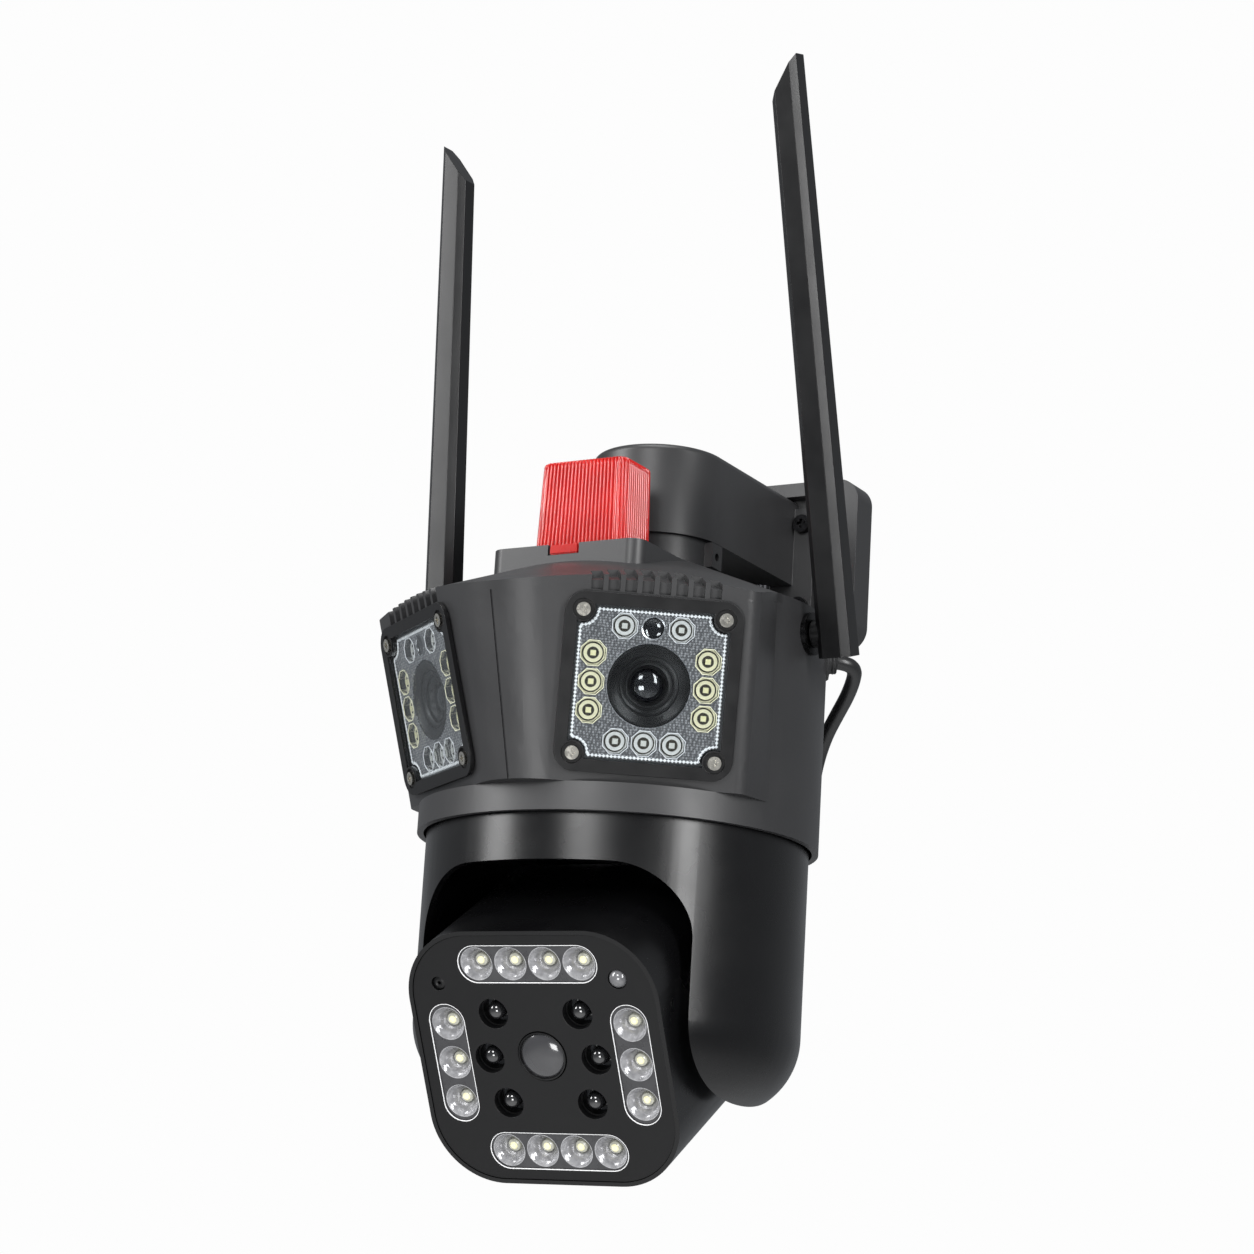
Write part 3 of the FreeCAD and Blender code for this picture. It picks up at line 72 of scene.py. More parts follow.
aim, distance = Vector((0.019, -0.1174, -0.0474)), 1.0
yaw, pitch, roll = math.radians(29.89), math.radians(13.52), math.radians(3.41)
turned_view = (Matrix.Rotation(yaw, 4, "Z") @ Matrix.Rotation(math.pi / 2 + pitch, 4, "X")
               @ Matrix.Rotation(roll, 4, "Z"))
camera = bpy.data.objects.new("camera", bpy.data.cameras.new("camera"))
camera.data.lens = 89.35
camera.matrix_world = Matrix.Translation(aim + turned_view.col[2].xyz * distance) @ turned_view
scene.collection.objects.link(camera)
scene.camera = camera

floor_mesh = bpy.data.meshes.new("studio_floor")
floor_half, floor_level = 4.0, -1.25
floor_mesh.from_pydata([(x * floor_half, y * floor_half, floor_level)
                        for x, y in ((-1, -1), (1, -1), (1, 1), (-1, 1))], [], [(0, 1, 2, 3)])
floor = bpy.data.objects.new("studio_floor", floor_mesh)
scene.collection.objects.link(floor)


def soft_box(name, place, wide, tall, power):
    """An area lamp that faces the middle of the camera."""
    lamp = bpy.data.lights.new(name, "AREA")
    lamp.shape, lamp.size, lamp.size_y, lamp.energy = "RECTANGLE", wide, tall, power
    holder = bpy.data.objects.new(name, lamp)
    place = Vector(place)
    turn = (aim - place).to_track_quat("-Z", "Y").to_matrix().to_4x4()
    holder.matrix_world = Matrix.Translation(place) @ turn
    scene.collection.objects.link(holder)


soft_box("left_box", (-1.05, -1.15, 0.55), 0.5, 1.2, 24)
soft_box("right_box", (1.35, -0.55, 0.35), 0.35, 1.1, 20)
soft_box("top_box", (0.1, -0.5, 1.5), 0.9, 0.7, 18)
soft_box("front_box", (0.25, -1.6, 0.35), 0.5, 0.5, 12)
soft_box("low_box", (0.35, -1.3, -0.75), 0.5, 0.4, 9)


def linear(colour):
    """An sRGB hex colour as linear red, green, blue and alpha."""
    parts = [int(colour[place:place + 2], 16) / 255 for place in (1, 3, 5)]
    return [part / 12.92 if part <= 0.04045 else ((part + 0.055) / 1.055) ** 2.4
            for part in parts] + [1.0]


def add(tree, kind, inputs=None, **settings):
    """Adds a node with its settings; each input is given a value or another node's output."""
    node = tree.nodes.new(kind)
    for name, value in settings.items():
        setattr(node, name, value)
    for key, value in (inputs or {}).items():
        if isinstance(value, bpy.types.NodeSocket):
            tree.links.new(value, node.inputs[key])
        else:
            node.inputs[key].default_value = value
    return node


world = bpy.data.worlds.new("studio_surround")
world.use_nodes = True
scene.world = world
sky = world.node_tree
sky.nodes.clear()
seen = add(sky, "ShaderNodeBackground", {"Color": linear("#fdfdfd"), "Strength": 1.0})
lit = add(sky, "ShaderNodeBackground", {"Color": linear("#e9edf2"), "Strength": 0.34})
ray = add(sky, "ShaderNodeLightPath")
mixed = add(sky, "ShaderNodeMixShader", {0: ray.outputs["Is Camera Ray"], 1: lit.outputs[0],
                                         2: seen.outputs[0]})
add(sky, "ShaderNodeOutputWorld", {"Surface": mixed.outputs[0]})


def blank(name):
    """A new material's node tree and its Principled shader."""
    material = bpy.data.materials.new(name)
    material.use_nodes = True
    return material, material.node_tree, material.node_tree.nodes["Principled BSDF"]


def mottled(name, dark, pale, patch, rough, spread, grain, height, **shader_values):
    """A finish whose colour and gloss drift over patches, with a fine grain; sizes in millimetres."""
    material, tree, shader = blank(name)
    place = add(tree, "ShaderNodeTexCoord").outputs["Object"]
    drift = add(tree, "ShaderNodeTexNoise", {"Vector": place, "Scale": 1 / (patch * MM), "Detail": 3.0})
    tone = add(tree, "ShaderNodeMix", {0: drift.outputs["Fac"], 6: linear(dark), 7: linear(pale)},
               data_type="RGBA")
    tree.links.new(tone.outputs[2], shader.inputs["Base Color"])
    fine = add(tree, "ShaderNodeTexNoise", {"Vector": place, "Scale": 1 / (grain * MM), "Detail": 2.0})
    gloss = add(tree, "ShaderNodeMapRange", {"Value": drift.outputs["Fac"], "From Min": 0.3,
                                             "From Max": 0.7, "To Min": rough - spread,
                                             "To Max": rough + spread})
    bump = add(tree, "ShaderNodeBump", {"Height": fine.outputs["Fac"], "Strength": 1.0,
                                        "Distance": height * MM})
    tree.links.new(gloss.outputs["Result"], shader.inputs["Roughness"])
    tree.links.new(bump.outputs["Normal"], shader.inputs["Normal"])
    for socket, value in shader_values.items():
        shader.inputs[socket.replace("_", " ")].default_value = value
    return material


# Matt emulsion on the studio floor: it only has to be pale and even.
floor.data.materials.append(mottled("floor_paint", "#e6e6e6", "#eeeeee", 300, 0.8, 0.05, 20, 0.1))


# ---------------------------------------------------------------- cable
# A short round pigtail in soft black PVC, moulded smooth.  It leaves a ribbed gland on the rear
# flank, curls round the housing's back and is wound flat behind it under a tie, plug in the middle.
CABLE_WIDE = 5.0
gland_angle, gland_high, gland_reach = math.radians(28), 67.0, 69.5
coil_middle = Vector((0.0, 74.0, 40.0))


def on_gland(reach):
    """A point on the gland's axis, this far out from the pan axis."""
    return Vector((reach * math.cos(gland_angle), reach * math.sin(gland_angle), gland_high))


def on_coil(radius, degrees, drop=0.0):
    """A point on a turn of the coil, which lies flat behind the housing."""
    angle = math.radians(degrees)
    return coil_middle + Vector((radius * math.cos(angle), 0, radius * math.sin(angle) + drop))


cable_points = [on_gland(gland_reach - 2)] + [Vector(point) for point in (
    (64.0, 34.3, 66.9), (64.9, 39.4, 65.6), (61.6, 44.9, 62.9), (56.6, 51.0, 59.2),
    (49.6, 58.0, 54.6), (42.0, 65.3, 48.8), (36.0, 71.3, 39.8), (33.5, 73.6, 28.0))]
outer_turn, inner_turn, first_angle, swept, steps = 32.75, 21.2, -38.0, 802.0, 53
for step in range(steps + 1):
    share = step / steps
    cable_points.append(on_coil(outer_turn + (inner_turn - outer_turn) * share,
                                first_angle - swept * share))
tail_round = 10.6
tail_middle = on_coil(inner_turn - tail_round, first_angle - swept) - coil_middle
for angle in range(215, 90, -25):
    cable_points.append(on_coil(tail_round, angle) + tail_middle)
cable_points.append(coil_middle + Vector((-4.0, 0, 0.6)))

curve = bpy.data.curves.new("cable", "CURVE")
curve.dimensions = "3D"
curve.bevel_depth = CABLE_WIDE / 2 * MM
curve.bevel_resolution = 6
curve.resolution_u = 6
curve.use_fill_caps = True
spline = curve.splines.new("NURBS")
spline.points.add(len(cable_points) - 1)
for point, place in zip(spline.points, cable_points):
    point.co = (HOUSING @ place).to_4d()
spline.order_u = 3
spline.use_endpoint_u = True
cable = bpy.data.objects.new("cable", curve)
scene.collection.objects.link(cable)
# Plasticised PVC, extruded: dark, a little waxy, with faint lengthwise drift in its gloss.
cable_pvc = mottled("extruded_pvc", "#0d0d0e", "#171718", 9, 0.38, 0.07, 0.6, 0.01)
curve.materials.append(cable_pvc)


def made(name, bm, place, material, body, slot, *replaced):
    """Finishes a mesh: puts it in its place, gives it its finish and sets it on its body."""
    mesh = bpy.data.meshes.new(name)
    bm.to_mesh(mesh)
    bm.free()
    mesh.transform(place)
    for face in mesh.polygons:
        face.use_smooth = True
    piece = bpy.data.objects.new(name, mesh)
    scene.collection.objects.link(piece)
    for finish in material if isinstance(material, list) else [material]:
        mesh.materials.append(finish)
    mesh.set_sharp_from_angle(angle=math.radians(32))
    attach(piece, body)
    if replaced:
        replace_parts(piece, *replaced)
    return piece


def lathe(profile, sides=64, ribs=None):
    """A closed piece turned about Y from (radius, y) points; a radius of 0 closes on the axis.

    ribs is (count, depth, first, last): flutes cut round the stretch between two profile points.
    """
    bm = bmesh.new()
    rings = []
    for index, (radius, along) in enumerate(profile):
        if radius == 0:
            rings.append([bm.verts.new((0, along, 0))])
            continue
        ring = []
        for side in range(sides):
            angle = 2 * math.pi * side / sides
            wave = 0.0
            if ribs and ribs[2] <= index <= ribs[3]:
                wave = ribs[1] * (0.5 - 0.5 * math.cos(angle * ribs[0]))
            ring.append(bm.verts.new(((radius - wave) * math.cos(angle), along,
                                      (radius - wave) * math.sin(angle))))
        rings.append(ring)
    closed = profile[0][0] != 0 or profile[-1][0] != 0
    for first, second in zip(rings, rings[1:] + (rings[:1] if closed else [])):
        for side in range(sides):
            after = (side + 1) % sides
            corners = [first[side % len(first)], first[after % len(first)],
                       second[after % len(second)], second[side % len(second)]]
            corners = list(dict.fromkeys(corners))
            if len(corners) > 2:
                bm.faces.new(corners)
    bmesh.ops.recalc_face_normals(bm, faces=bm.faces)
    return bm


# The gland and the plug's grip are moulded in a softer, duller rubber than the cable.
soft_rubber = mottled("moulded_rubber", "#101011", "#1b1b1c", 6, 0.55, 0.06, 0.5, 0.03)
gland_turn = Matrix.Rotation(gland_angle - math.pi / 2, 4, "Z")
gland_place = HOUSING @ Matrix.Translation((0, 0, gland_high)) @ gland_turn
nose = [(2.55, 60.0), (6.5, 60.0), (6.5, 66.2), (6.1, 66.8), (5.2, 66.9)]
for groove in range(2):
    nose += [(4.3, 67.0 + groove * 1.1), (4.1, 67.4 + groove * 1.1), (4.2, 67.9 + groove * 1.1)]
nose += [(3.6, 69.4), (2.55, 69.5)]
gland = made("cable_gland_boot", lathe(nose, 48), gland_place, soft_rubber, "housing",
             "gasket_rubber", "cable_gland")
along_x = Matrix.Rotation(-math.pi / 2, 4, "Z")
plug_place = HOUSING @ Matrix.Translation(coil_middle + Vector((0, 0, 0.4))) @ along_x
plug_grip = made("plug_grip", lathe(
    [(2.0, -5.5), (3.6, -5.5), (4.3, -4.9), (4.6, -3.5), (4.6, 6.5), (4.3, 9.0), (3.6, 9.5),
     (2.0, 9.5)], 72, (18, 0.35, 3, 4)),
    plug_place, soft_rubber, "housing", "cable_pvc", "power_plug")


def drawn_metal(name, dark, pale, rough):
    """Plated metal: bright, with faint turned or brushed drift in its gloss."""
    return mottled(name, dark, pale, 1.5, rough, 0.06, 0.25, 0.002, Metallic=1.0)


# Bright nickel over brass: yellower than chrome, slightly soft in its reflections.
nickel = drawn_metal("nickel_plate", "#b9b6ad", "#d6d3ca", 0.26)
plug_sleeve = made("plug_sleeve", lathe(
    [(1.1, 9.4), (2.6, 9.4), (2.6, 10.2), (2.45, 10.4), (2.75, 10.8), (2.75, 17.1), (2.5, 17.5),
     (1.2, 17.5), (1.1, 17.3)], 48), plug_place, nickel, "housing", "nickel")


def rounded(node, edge, material):
    """A CAD shell's copy with its edges rounded to the radius that its mould gives them."""
    bm = bmesh.new()
    bm.from_mesh(frame["nodes"][node].data)
    bmesh.ops.remove_doubles(bm, verts=bm.verts, dist=2e-6)
    bmesh.ops.dissolve_limit(bm, angle_limit=math.radians(1), verts=bm.verts, edges=bm.edges)
    mesh = bpy.data.meshes.new(node + "_moulding")
    bm.to_mesh(mesh)
    bm.free()
    for face in mesh.polygons:
        face.use_smooth = True
    piece = bpy.data.objects.new(node + "_moulding", mesh)
    scene.collection.objects.link(piece)
    rounding = piece.modifiers.new("rounding", "BEVEL")
    rounding.width = edge * MM
    rounding.segments = 2
    rounding.angle_limit = math.radians(32)
    rounding.miter_outer = "MITER_ARC"
    shading = piece.modifiers.new("shading", "WEIGHTED_NORMAL")
    shading.keep_sharp = True
    drawn = piece.evaluated_get(bpy.context.evaluated_depsgraph_get())
    finished = bpy.data.meshes.new_from_object(drawn)
    piece.modifiers.clear()
    piece.data = finished
    finished.materials.clear()
    finished.materials.append(material)
    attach(piece, frame["nodes"][node]["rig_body"])
    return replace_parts(piece, node)


# The tie is a band of black nylon loop tape.
tie_nylon = mottled("nylon_tape", "#0f0f10", "#222223", 2, 0.85, 0.05, 0.5, 0.15)
tie = rounded("coil_tie", 0.4, tie_nylon)
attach(cable, "housing")
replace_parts(cable, "cable_lead", "cable_coil")

# ---------------------------------------------------------------- wall plate and bracket arm
# Injection-moulded ABS: a shallow tray that is screwed to the wall, and a hollow arm screwed to the
# tray's floor by four pan head screws.
# Spark-eroded satin ABS: a neutral dark grey that turns paler where it meets the light flat on.
satin_abs = mottled("satin_abs", "#202021", "#272728", 22, 0.42, 0.035, 0.45, 0.012)
rounded("wall_plate", 0.8, satin_abs)
rounded("bracket_arm", 0.5, satin_abs)


def coat(material, *nodes):
    """Gives CAD pieces whose shape is already right their finish."""
    for node in nodes:
        slots = frame["nodes"][node].data.materials
        slots.clear()
        slots.append(material)


# Zinc-plated steel: a blue-white metal, duller than nickel, with a fine turned grain.
zinc = drawn_metal("zinc_plate", "#a3a6ab", "#c4c7cb", 0.34)
coat(zinc, "board_screws")
# Black oxide on the screws outside: as dark as the plastic, with a metal's sheen on their edges.
black_oxide = drawn_metal("black_oxide", "#1c1c1d", "#303032", 0.36)
coat(black_oxide, "bracket_screws", "turret_screws", "cover_screws", "hatch_screws")

# ---------------------------------------------------------------- housing and top cover
# The upper housing and its cover are two ABS mouldings that meet under the roof's edge: vents are
# moulded over each bay, and the cover carries the strobe's deck and the turret under the arm.
rounded("upper_housing", 0.45, satin_abs)
rounded("top_cover", 0.35, satin_abs)

# ---------------------------------------------------------------- camera bays
# Each bay holds a black rubber pad with a clear acrylic window over eleven lamps, a light sensor
# and a fixed lens.  Four cross-recess screws sit in the pad's corners.
bay_angle, bay_lean, bay_reach, bay_high = math.radians(35.33), math.radians(15.3), 71.37, 39.73
screw_half, lamp_ring, lamp_pitch, lamp_half = 22.3, 18.0, 8.9, 4.1
BAYS = {}
for side_name, side in (("left", -1), ("right", 1)):
    BAYS[side_name] = (HOUSING @ Matrix.Translation((side * bay_reach * math.sin(bay_angle),
                                                     -bay_reach * math.cos(bay_angle), bay_high))
                       @ Matrix.Rotation(side * bay_angle, 4, "Z") @ Matrix.Rotation(bay_lean, 4, "X"))

# Moulded rubber, dusted smooth: nearly black with a soft broad sheen.
pad_rubber = mottled("pad_rubber", "#070708", "#0d0d0e", 8, 0.38, 0.05, 0.5, 0.008,
                     Specular_IOR_Level=0.32)
for side_name in BAYS:
    rounded(side_name + "_window_gasket", 0.5, pad_rubber)


def clear_plastic(name, tint, ior, rough, share):
    """Thin clear plastic: what is behind shows, under a share of the gloss that grows at a slant."""
    material, tree, shader = blank(name)
    tree.nodes.remove(shader)
    place = add(tree, "ShaderNodeTexCoord").outputs["Object"]
    haze = add(tree, "ShaderNodeTexNoise", {"Vector": place, "Scale": 1 / (7 * MM), "Detail": 2.0})
    gloss = add(tree, "ShaderNodeMapRange", {"Value": haze.outputs["Fac"], "To Min": rough,
                                             "To Max": rough * 3})
    through = add(tree, "ShaderNodeBsdfTransparent", {"Color": linear(tint)})
    shine = add(tree, "ShaderNodeBsdfGlossy", {"Color": linear("#ffffff"),
                                               "Roughness": gloss.outputs["Result"]})
    edge = add(tree, "ShaderNodeFresnel", {"IOR": ior})
    held = add(tree, "ShaderNodeMath", {0: edge.outputs[0], 1: share}, operation="MULTIPLY")
    both = add(tree, "ShaderNodeMixShader", {0: held.outputs[0], 1: through.outputs[0],
                                             2: shine.outputs[0]})
    output = next(node for node in tree.nodes if node.type == "OUTPUT_MATERIAL")
    tree.links.new(both.outputs[0], output.inputs["Surface"])
    return material


# Cast acrylic with a low-glare coat: almost unseen face on, a faint mirror at a slant.
window_acrylic = clear_plastic("window_acrylic", "#f7f9fa", 1.49, 0.02, 0.22)
coat(window_acrylic, "left_window", "right_window")


def cut_sheet(name, outlines, thick):
    """A thin sheet of its first outline with the others as holes, drawn in X and Z."""
    flat = bpy.data.curves.new(name, "CURVE")
    flat.dimensions = "2D"
    flat.fill_mode = "BOTH"
    flat.extrude = thick / 2
    for outline in outlines:
        loop = flat.splines.new("POLY")
        loop.points.add(len(outline) - 1)
        for point, (x, z) in zip(loop.points, outline):
            point.co = (x, z, 0, 1)
        loop.use_cyclic_u = True
    holder = bpy.data.objects.new(name, flat)
    scene.collection.objects.link(holder)
    mesh = bpy.data.meshes.new_from_object(holder.evaluated_get(bpy.context.evaluated_depsgraph_get()))
    bpy.data.objects.remove(holder)
    bm = bmesh.new()
    bm.from_mesh(mesh)
    bmesh.ops.remove_doubles(bm, verts=bm.verts, dist=1e-4)
    bmesh.ops.rotate(bm, verts=bm.verts, matrix=Matrix.Rotation(math.pi / 2, 3, "X"))
    bmesh.ops.recalc_face_normals(bm, faces=bm.faces)
    return bm


def circle(radius, x=0.0, z=0.0, sides=40, first=0.0, last=360.0):
    """Points of a circle, or of an arc between two angles in degrees."""
    whole = last - first == 360.0
    count = sides if whole else sides - 1
    return [(x + radius * math.cos(math.radians(first + (last - first) * step / count)),
             z + radius * math.sin(math.radians(first + (last - first) * step / count)))
            for step in range(sides)]


def notched_square(half, notch, sides=12):
    """A square's outline that bends inwards round the screw at each corner."""
    outline = []
    reach = math.degrees(math.acos((half - screw_half) / notch))
    for quarter in range(4):
        turn = math.radians(90 * quarter)
        arc = circle(notch, screw_half, screw_half, sides, -reach, -270 + reach)
        outline += [(x * math.cos(turn) - z * math.sin(turn), x * math.sin(turn) + z * math.cos(turn))
                    for x, z in reversed(arc)][::-1]
    return outline


warm_spots = [(x * lamp_ring, z * lamp_pitch) for x in (-1, 1) for z in (-1, 0, 1)]
cool_spots = ([(-lamp_pitch, lamp_ring), (lamp_pitch, lamp_ring)]
              + [(x * lamp_pitch, -lamp_ring) for x in (-1, 0, 1)])


def dotted_film():
    """Printed polycarbonate film: a grey field with a fine screen of paler dots.

    The real dots stand 0.5 mm apart; they are drawn 0.8 mm apart, so that they show.
    """
    material, tree, shader = blank("dotted_film")
    place = add(tree, "ShaderNodeTexCoord").outputs["Object"]
    cells = add(tree, "ShaderNodeTexVoronoi", {"Vector": place, "Scale": 1 / (0.8 * MM),
                                               "Randomness": 0.35})
    dots = add(tree, "ShaderNodeMapRange", {"Value": cells.outputs["Distance"], "From Min": 0.2,
                                            "From Max": 0.55})
    cloud = add(tree, "ShaderNodeTexNoise", {"Vector": place, "Scale": 1 / (12 * MM), "Detail": 2.0})
    ground = add(tree, "ShaderNodeMix", {0: cloud.outputs["Fac"], 6: linear("#333335"),
                                         7: linear("#48484a")}, data_type="RGBA")
    printed = add(tree, "ShaderNodeMix", {0: dots.outputs["Result"], 6: linear("#8c8c8e"),
                                          7: ground.outputs[2]}, data_type="RGBA")
    relief = add(tree, "ShaderNodeBump", {"Height": dots.outputs["Result"], "Strength": 0.6,
                                          "Distance": 0.05 * MM, "Normal": (0, 0, 0)})
    tree.links.new(printed.outputs[2], shader.inputs["Base Color"])
    tree.links.new(relief.outputs["Normal"], shader.inputs["Normal"])
    shader.inputs["Roughness"].default_value = 0.5
    return material


film = dotted_film()
film_depth = 1.75
for side_name, place in BAYS.items():
    holes = [circle(lamp_half + 0.2, x, z, 24) for x, z in warm_spots + cool_spots]
    holes += [circle(3.25, 0, lamp_ring, 32), circle(13.15, 0, 0, 64)]
    sheet = cut_sheet(side_name + "_film", [notched_square(23.5, 4.3)] + holes, 0.15)
    made(side_name + "_lamp_film", sheet, place @ Matrix.Translation((0, film_depth, 0)), film,
         "housing", "board_dark")


def geometry_tree(name, **inputs):
    """A geometry node tree with named number inputs, and its ends."""
    tree = bpy.data.node_groups.new(name, "GeometryNodeTree")
    tree.interface.new_socket("Geometry", in_out="INPUT", socket_type="NodeSocketGeometry")
    for label, value in inputs.items():
        kind = "NodeSocketInt" if isinstance(value, int) else "NodeSocketFloat"
        socket = tree.interface.new_socket(label.replace("_", " "), in_out="INPUT", socket_type=kind)
        socket.default_value = value
    tree.interface.new_socket("Geometry", in_out="OUTPUT", socket_type="NodeSocketGeometry")
    return tree, add(tree, "NodeGroupInput"), add(tree, "NodeGroupOutput")


def grown(name, tree, points, edges, values, place, body, slot, *replaced):
    """Runs a geometry node tree on points and edges, and keeps its result as a plain mesh."""
    seed = bpy.data.meshes.new(name + "_spots")
    seed.from_pydata([tuple(point) for point in points], edges, [])
    holder = bpy.data.objects.new(name + "_spots", seed)
    scene.collection.objects.link(holder)
    nodes = holder.modifiers.new("nodes", "NODES")
    nodes.node_group = tree
    sockets = {item.name: item.identifier for item in tree.interface.items_tree
               if item.in_out == "INPUT"}
    for label, value in values.items():
        nodes[sockets[label]] = value
    mesh = bpy.data.meshes.new_from_object(holder.evaluated_get(bpy.context.evaluated_depsgraph_get()))
    bpy.data.objects.remove(holder)
    mesh.transform(place)
    mesh.name = name
    piece = bpy.data.objects.new(name, mesh)
    scene.collection.objects.link(piece)
    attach(piece, body)
    if replaced:
        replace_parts(piece, *replaced)
    return piece


def lamp_tree(name, cover, dish, shadow, chip):
    """One lamp on each point: an octagonal cover with a pale rim of painted highlight, a dish in a ring
    of painted shadow, and a chip in a disc of painted shadow.
    """
    tree, start, end = geometry_tree(name, Half_Width=4.1, Tall=2.6, Chip=1.7)
    half, tall, chip_size = (start.outputs[label] for label in ("Half Width", "Tall", "Chip"))
    corner = add(tree, "ShaderNodeMath", {0: half, 1: math.cos(math.pi / 8)}, operation="DIVIDE")
    parts = []
    shapes = ((8, 1.0, 1.0, 1.0, 0.0, cover), (8, 0.96, 0.96, 0.06, 0.84, dish),
              (24, 0.8, 0.8, 0.06, 0.77, shadow), (24, 0.7, 0.66, 0.1, 0.66, dish),
              (16, 0.44, 0.44, 0.06, 0.6, shadow))
    for sides, top, bottom, share, sink, finish in shapes:
        wide = add(tree, "ShaderNodeMath", {0: corner.outputs[0], 1: top}, operation="MULTIPLY")
        thin = add(tree, "ShaderNodeMath", {0: corner.outputs[0], 1: bottom}, operation="MULTIPLY")
        deep = add(tree, "ShaderNodeMath", {0: tall, 1: share}, operation="MULTIPLY")
        drop = add(tree, "ShaderNodeMath", {0: tall, 1: sink}, operation="MULTIPLY")
        shape = add(tree, "GeometryNodeMeshCone", {"Vertices": sides, "Radius Top": thin.outputs[0],
                                                   "Radius Bottom": wide.outputs[0],
                                                   "Depth": deep.outputs[0]})
        spun = add(tree, "ShaderNodeCombineXYZ", {"Z": math.pi / sides})
        offset = add(tree, "ShaderNodeCombineXYZ", {"Z": drop.outputs[0]})
        moved = add(tree, "GeometryNodeTransform", {"Geometry": shape.outputs["Mesh"],
                                                    "Translation": offset.outputs[0],
                                                    "Rotation": spun.outputs[0]})
        painted = add(tree, "GeometryNodeSetMaterial", {"Geometry": moved.outputs[0],
                                                        "Material": finish})
        parts.append(painted.outputs[0])
    square = add(tree, "ShaderNodeCombineXYZ", {"X": chip_size, "Y": chip_size, "Z": 0.7})
    die = add(tree, "GeometryNodeMeshCube", {"Size": square.outputs[0]})
    lifted = add(tree, "GeometryNodeTransform", {"Geometry": die.outputs["Mesh"],
                                                 "Translation": (0, 0, 1.25)})
    painted = add(tree, "GeometryNodeSetMaterial", {"Geometry": lifted.outputs[0], "Material": chip})
    parts.append(painted.outputs[0])
    # Painted highlight: a pale bead in the dish's finish round the cover's edge stands in for the light
    # that the clear edge catches.
    brim = add(tree, "GeometryNodeCurvePrimitiveCircle", {"Resolution": 8, "Radius": corner.outputs[0]})
    bead = add(tree, "GeometryNodeCurvePrimitiveCircle", {"Resolution": 6, "Radius": 0.14})
    rim = add(tree, "GeometryNodeCurveToMesh", {"Curve": brim.outputs[0],
                                                "Profile Curve": bead.outputs[0]})
    turned_rim = add(tree, "GeometryNodeTransform", {"Geometry": rim.outputs[0],
                                                     "Rotation": (0, 0, math.pi / 8)})
    painted = add(tree, "GeometryNodeSetMaterial", {"Geometry": turned_rim.outputs[0],
                                                    "Material": dish})
    parts.append(painted.outputs[0])
    join = add(tree, "GeometryNodeJoinGeometry")
    for part in parts:
        tree.links.new(part, join.inputs[0])
    inward = add(tree, "ShaderNodeCombineXYZ", {"X": -math.pi / 2})
    placed = add(tree, "GeometryNodeInstanceOnPoints", {"Points": start.outputs["Geometry"],
                                                        "Instance": join.outputs[0],
                                                        "Rotation": inward.outputs[0]})
    real = add(tree, "GeometryNodeRealizeInstances", {"Geometry": placed.outputs[0]})
    tree.links.new(real.outputs[0], end.inputs[0])
    return tree


# Moulded silicone lamp covers: water clear, with edges that catch the light.
lamp_cover = clear_plastic("lamp_silicone", "#fbfbf8", 1.41, 0.06, 0.8)
# Phosphor and ceramic under the covers: chalky, warm on the white-light lamps, grey on the others.
warm_dish = mottled("warm_phosphor", "#f4ecc0", "#fffbe4", 1.2, 0.5, 0.1, 0.3, 0.02)
cool_dish = mottled("white_ceramic", "#d6d6d8", "#f6f6f8", 1.2, 0.42, 0.1, 0.3, 0.02)
# Painted shadow, brown-black: the ring round each dish and the disc round each chip stand in for the
# shade inside each lamp.
painted_shadow_finish = mottled("dark_lead_frame", "#241f16", "#3a342a", 0.8, 0.4, 0.1, 0.3, 0.02)
warm_chip = mottled("yellow_phosphor", "#f4ecac", "#fffbe0", 0.7, 0.35, 0.08, 0.2, 0.01)
cool_chip = mottled("silvered_chip", "#d2d2d0", "#f0f0ee", 0.7, 0.25, 0.08, 0.2, 0.01)
warm_lamp = lamp_tree("warm_lamp", lamp_cover, warm_dish, painted_shadow_finish, warm_chip)
cool_lamp = lamp_tree("cool_lamp", lamp_cover, cool_dish, painted_shadow_finish, cool_chip)
lamp_values = {"Half Width": lamp_half - 0.15, "Tall": 2.6, "Chip": 1.7}
lamp_front = 1.5
for side_name, place in BAYS.items():
    for kind, tree, spots in (("warm", warm_lamp, warm_spots), ("cool", cool_lamp, cool_spots)):
        grown("%s_%s_lamps" % (side_name, kind), tree, [(x, lamp_front, z) for x, z in spots], [],
              lamp_values, place, "housing", "clear_lens", "bay_led_lenses", "bay_led_dies")


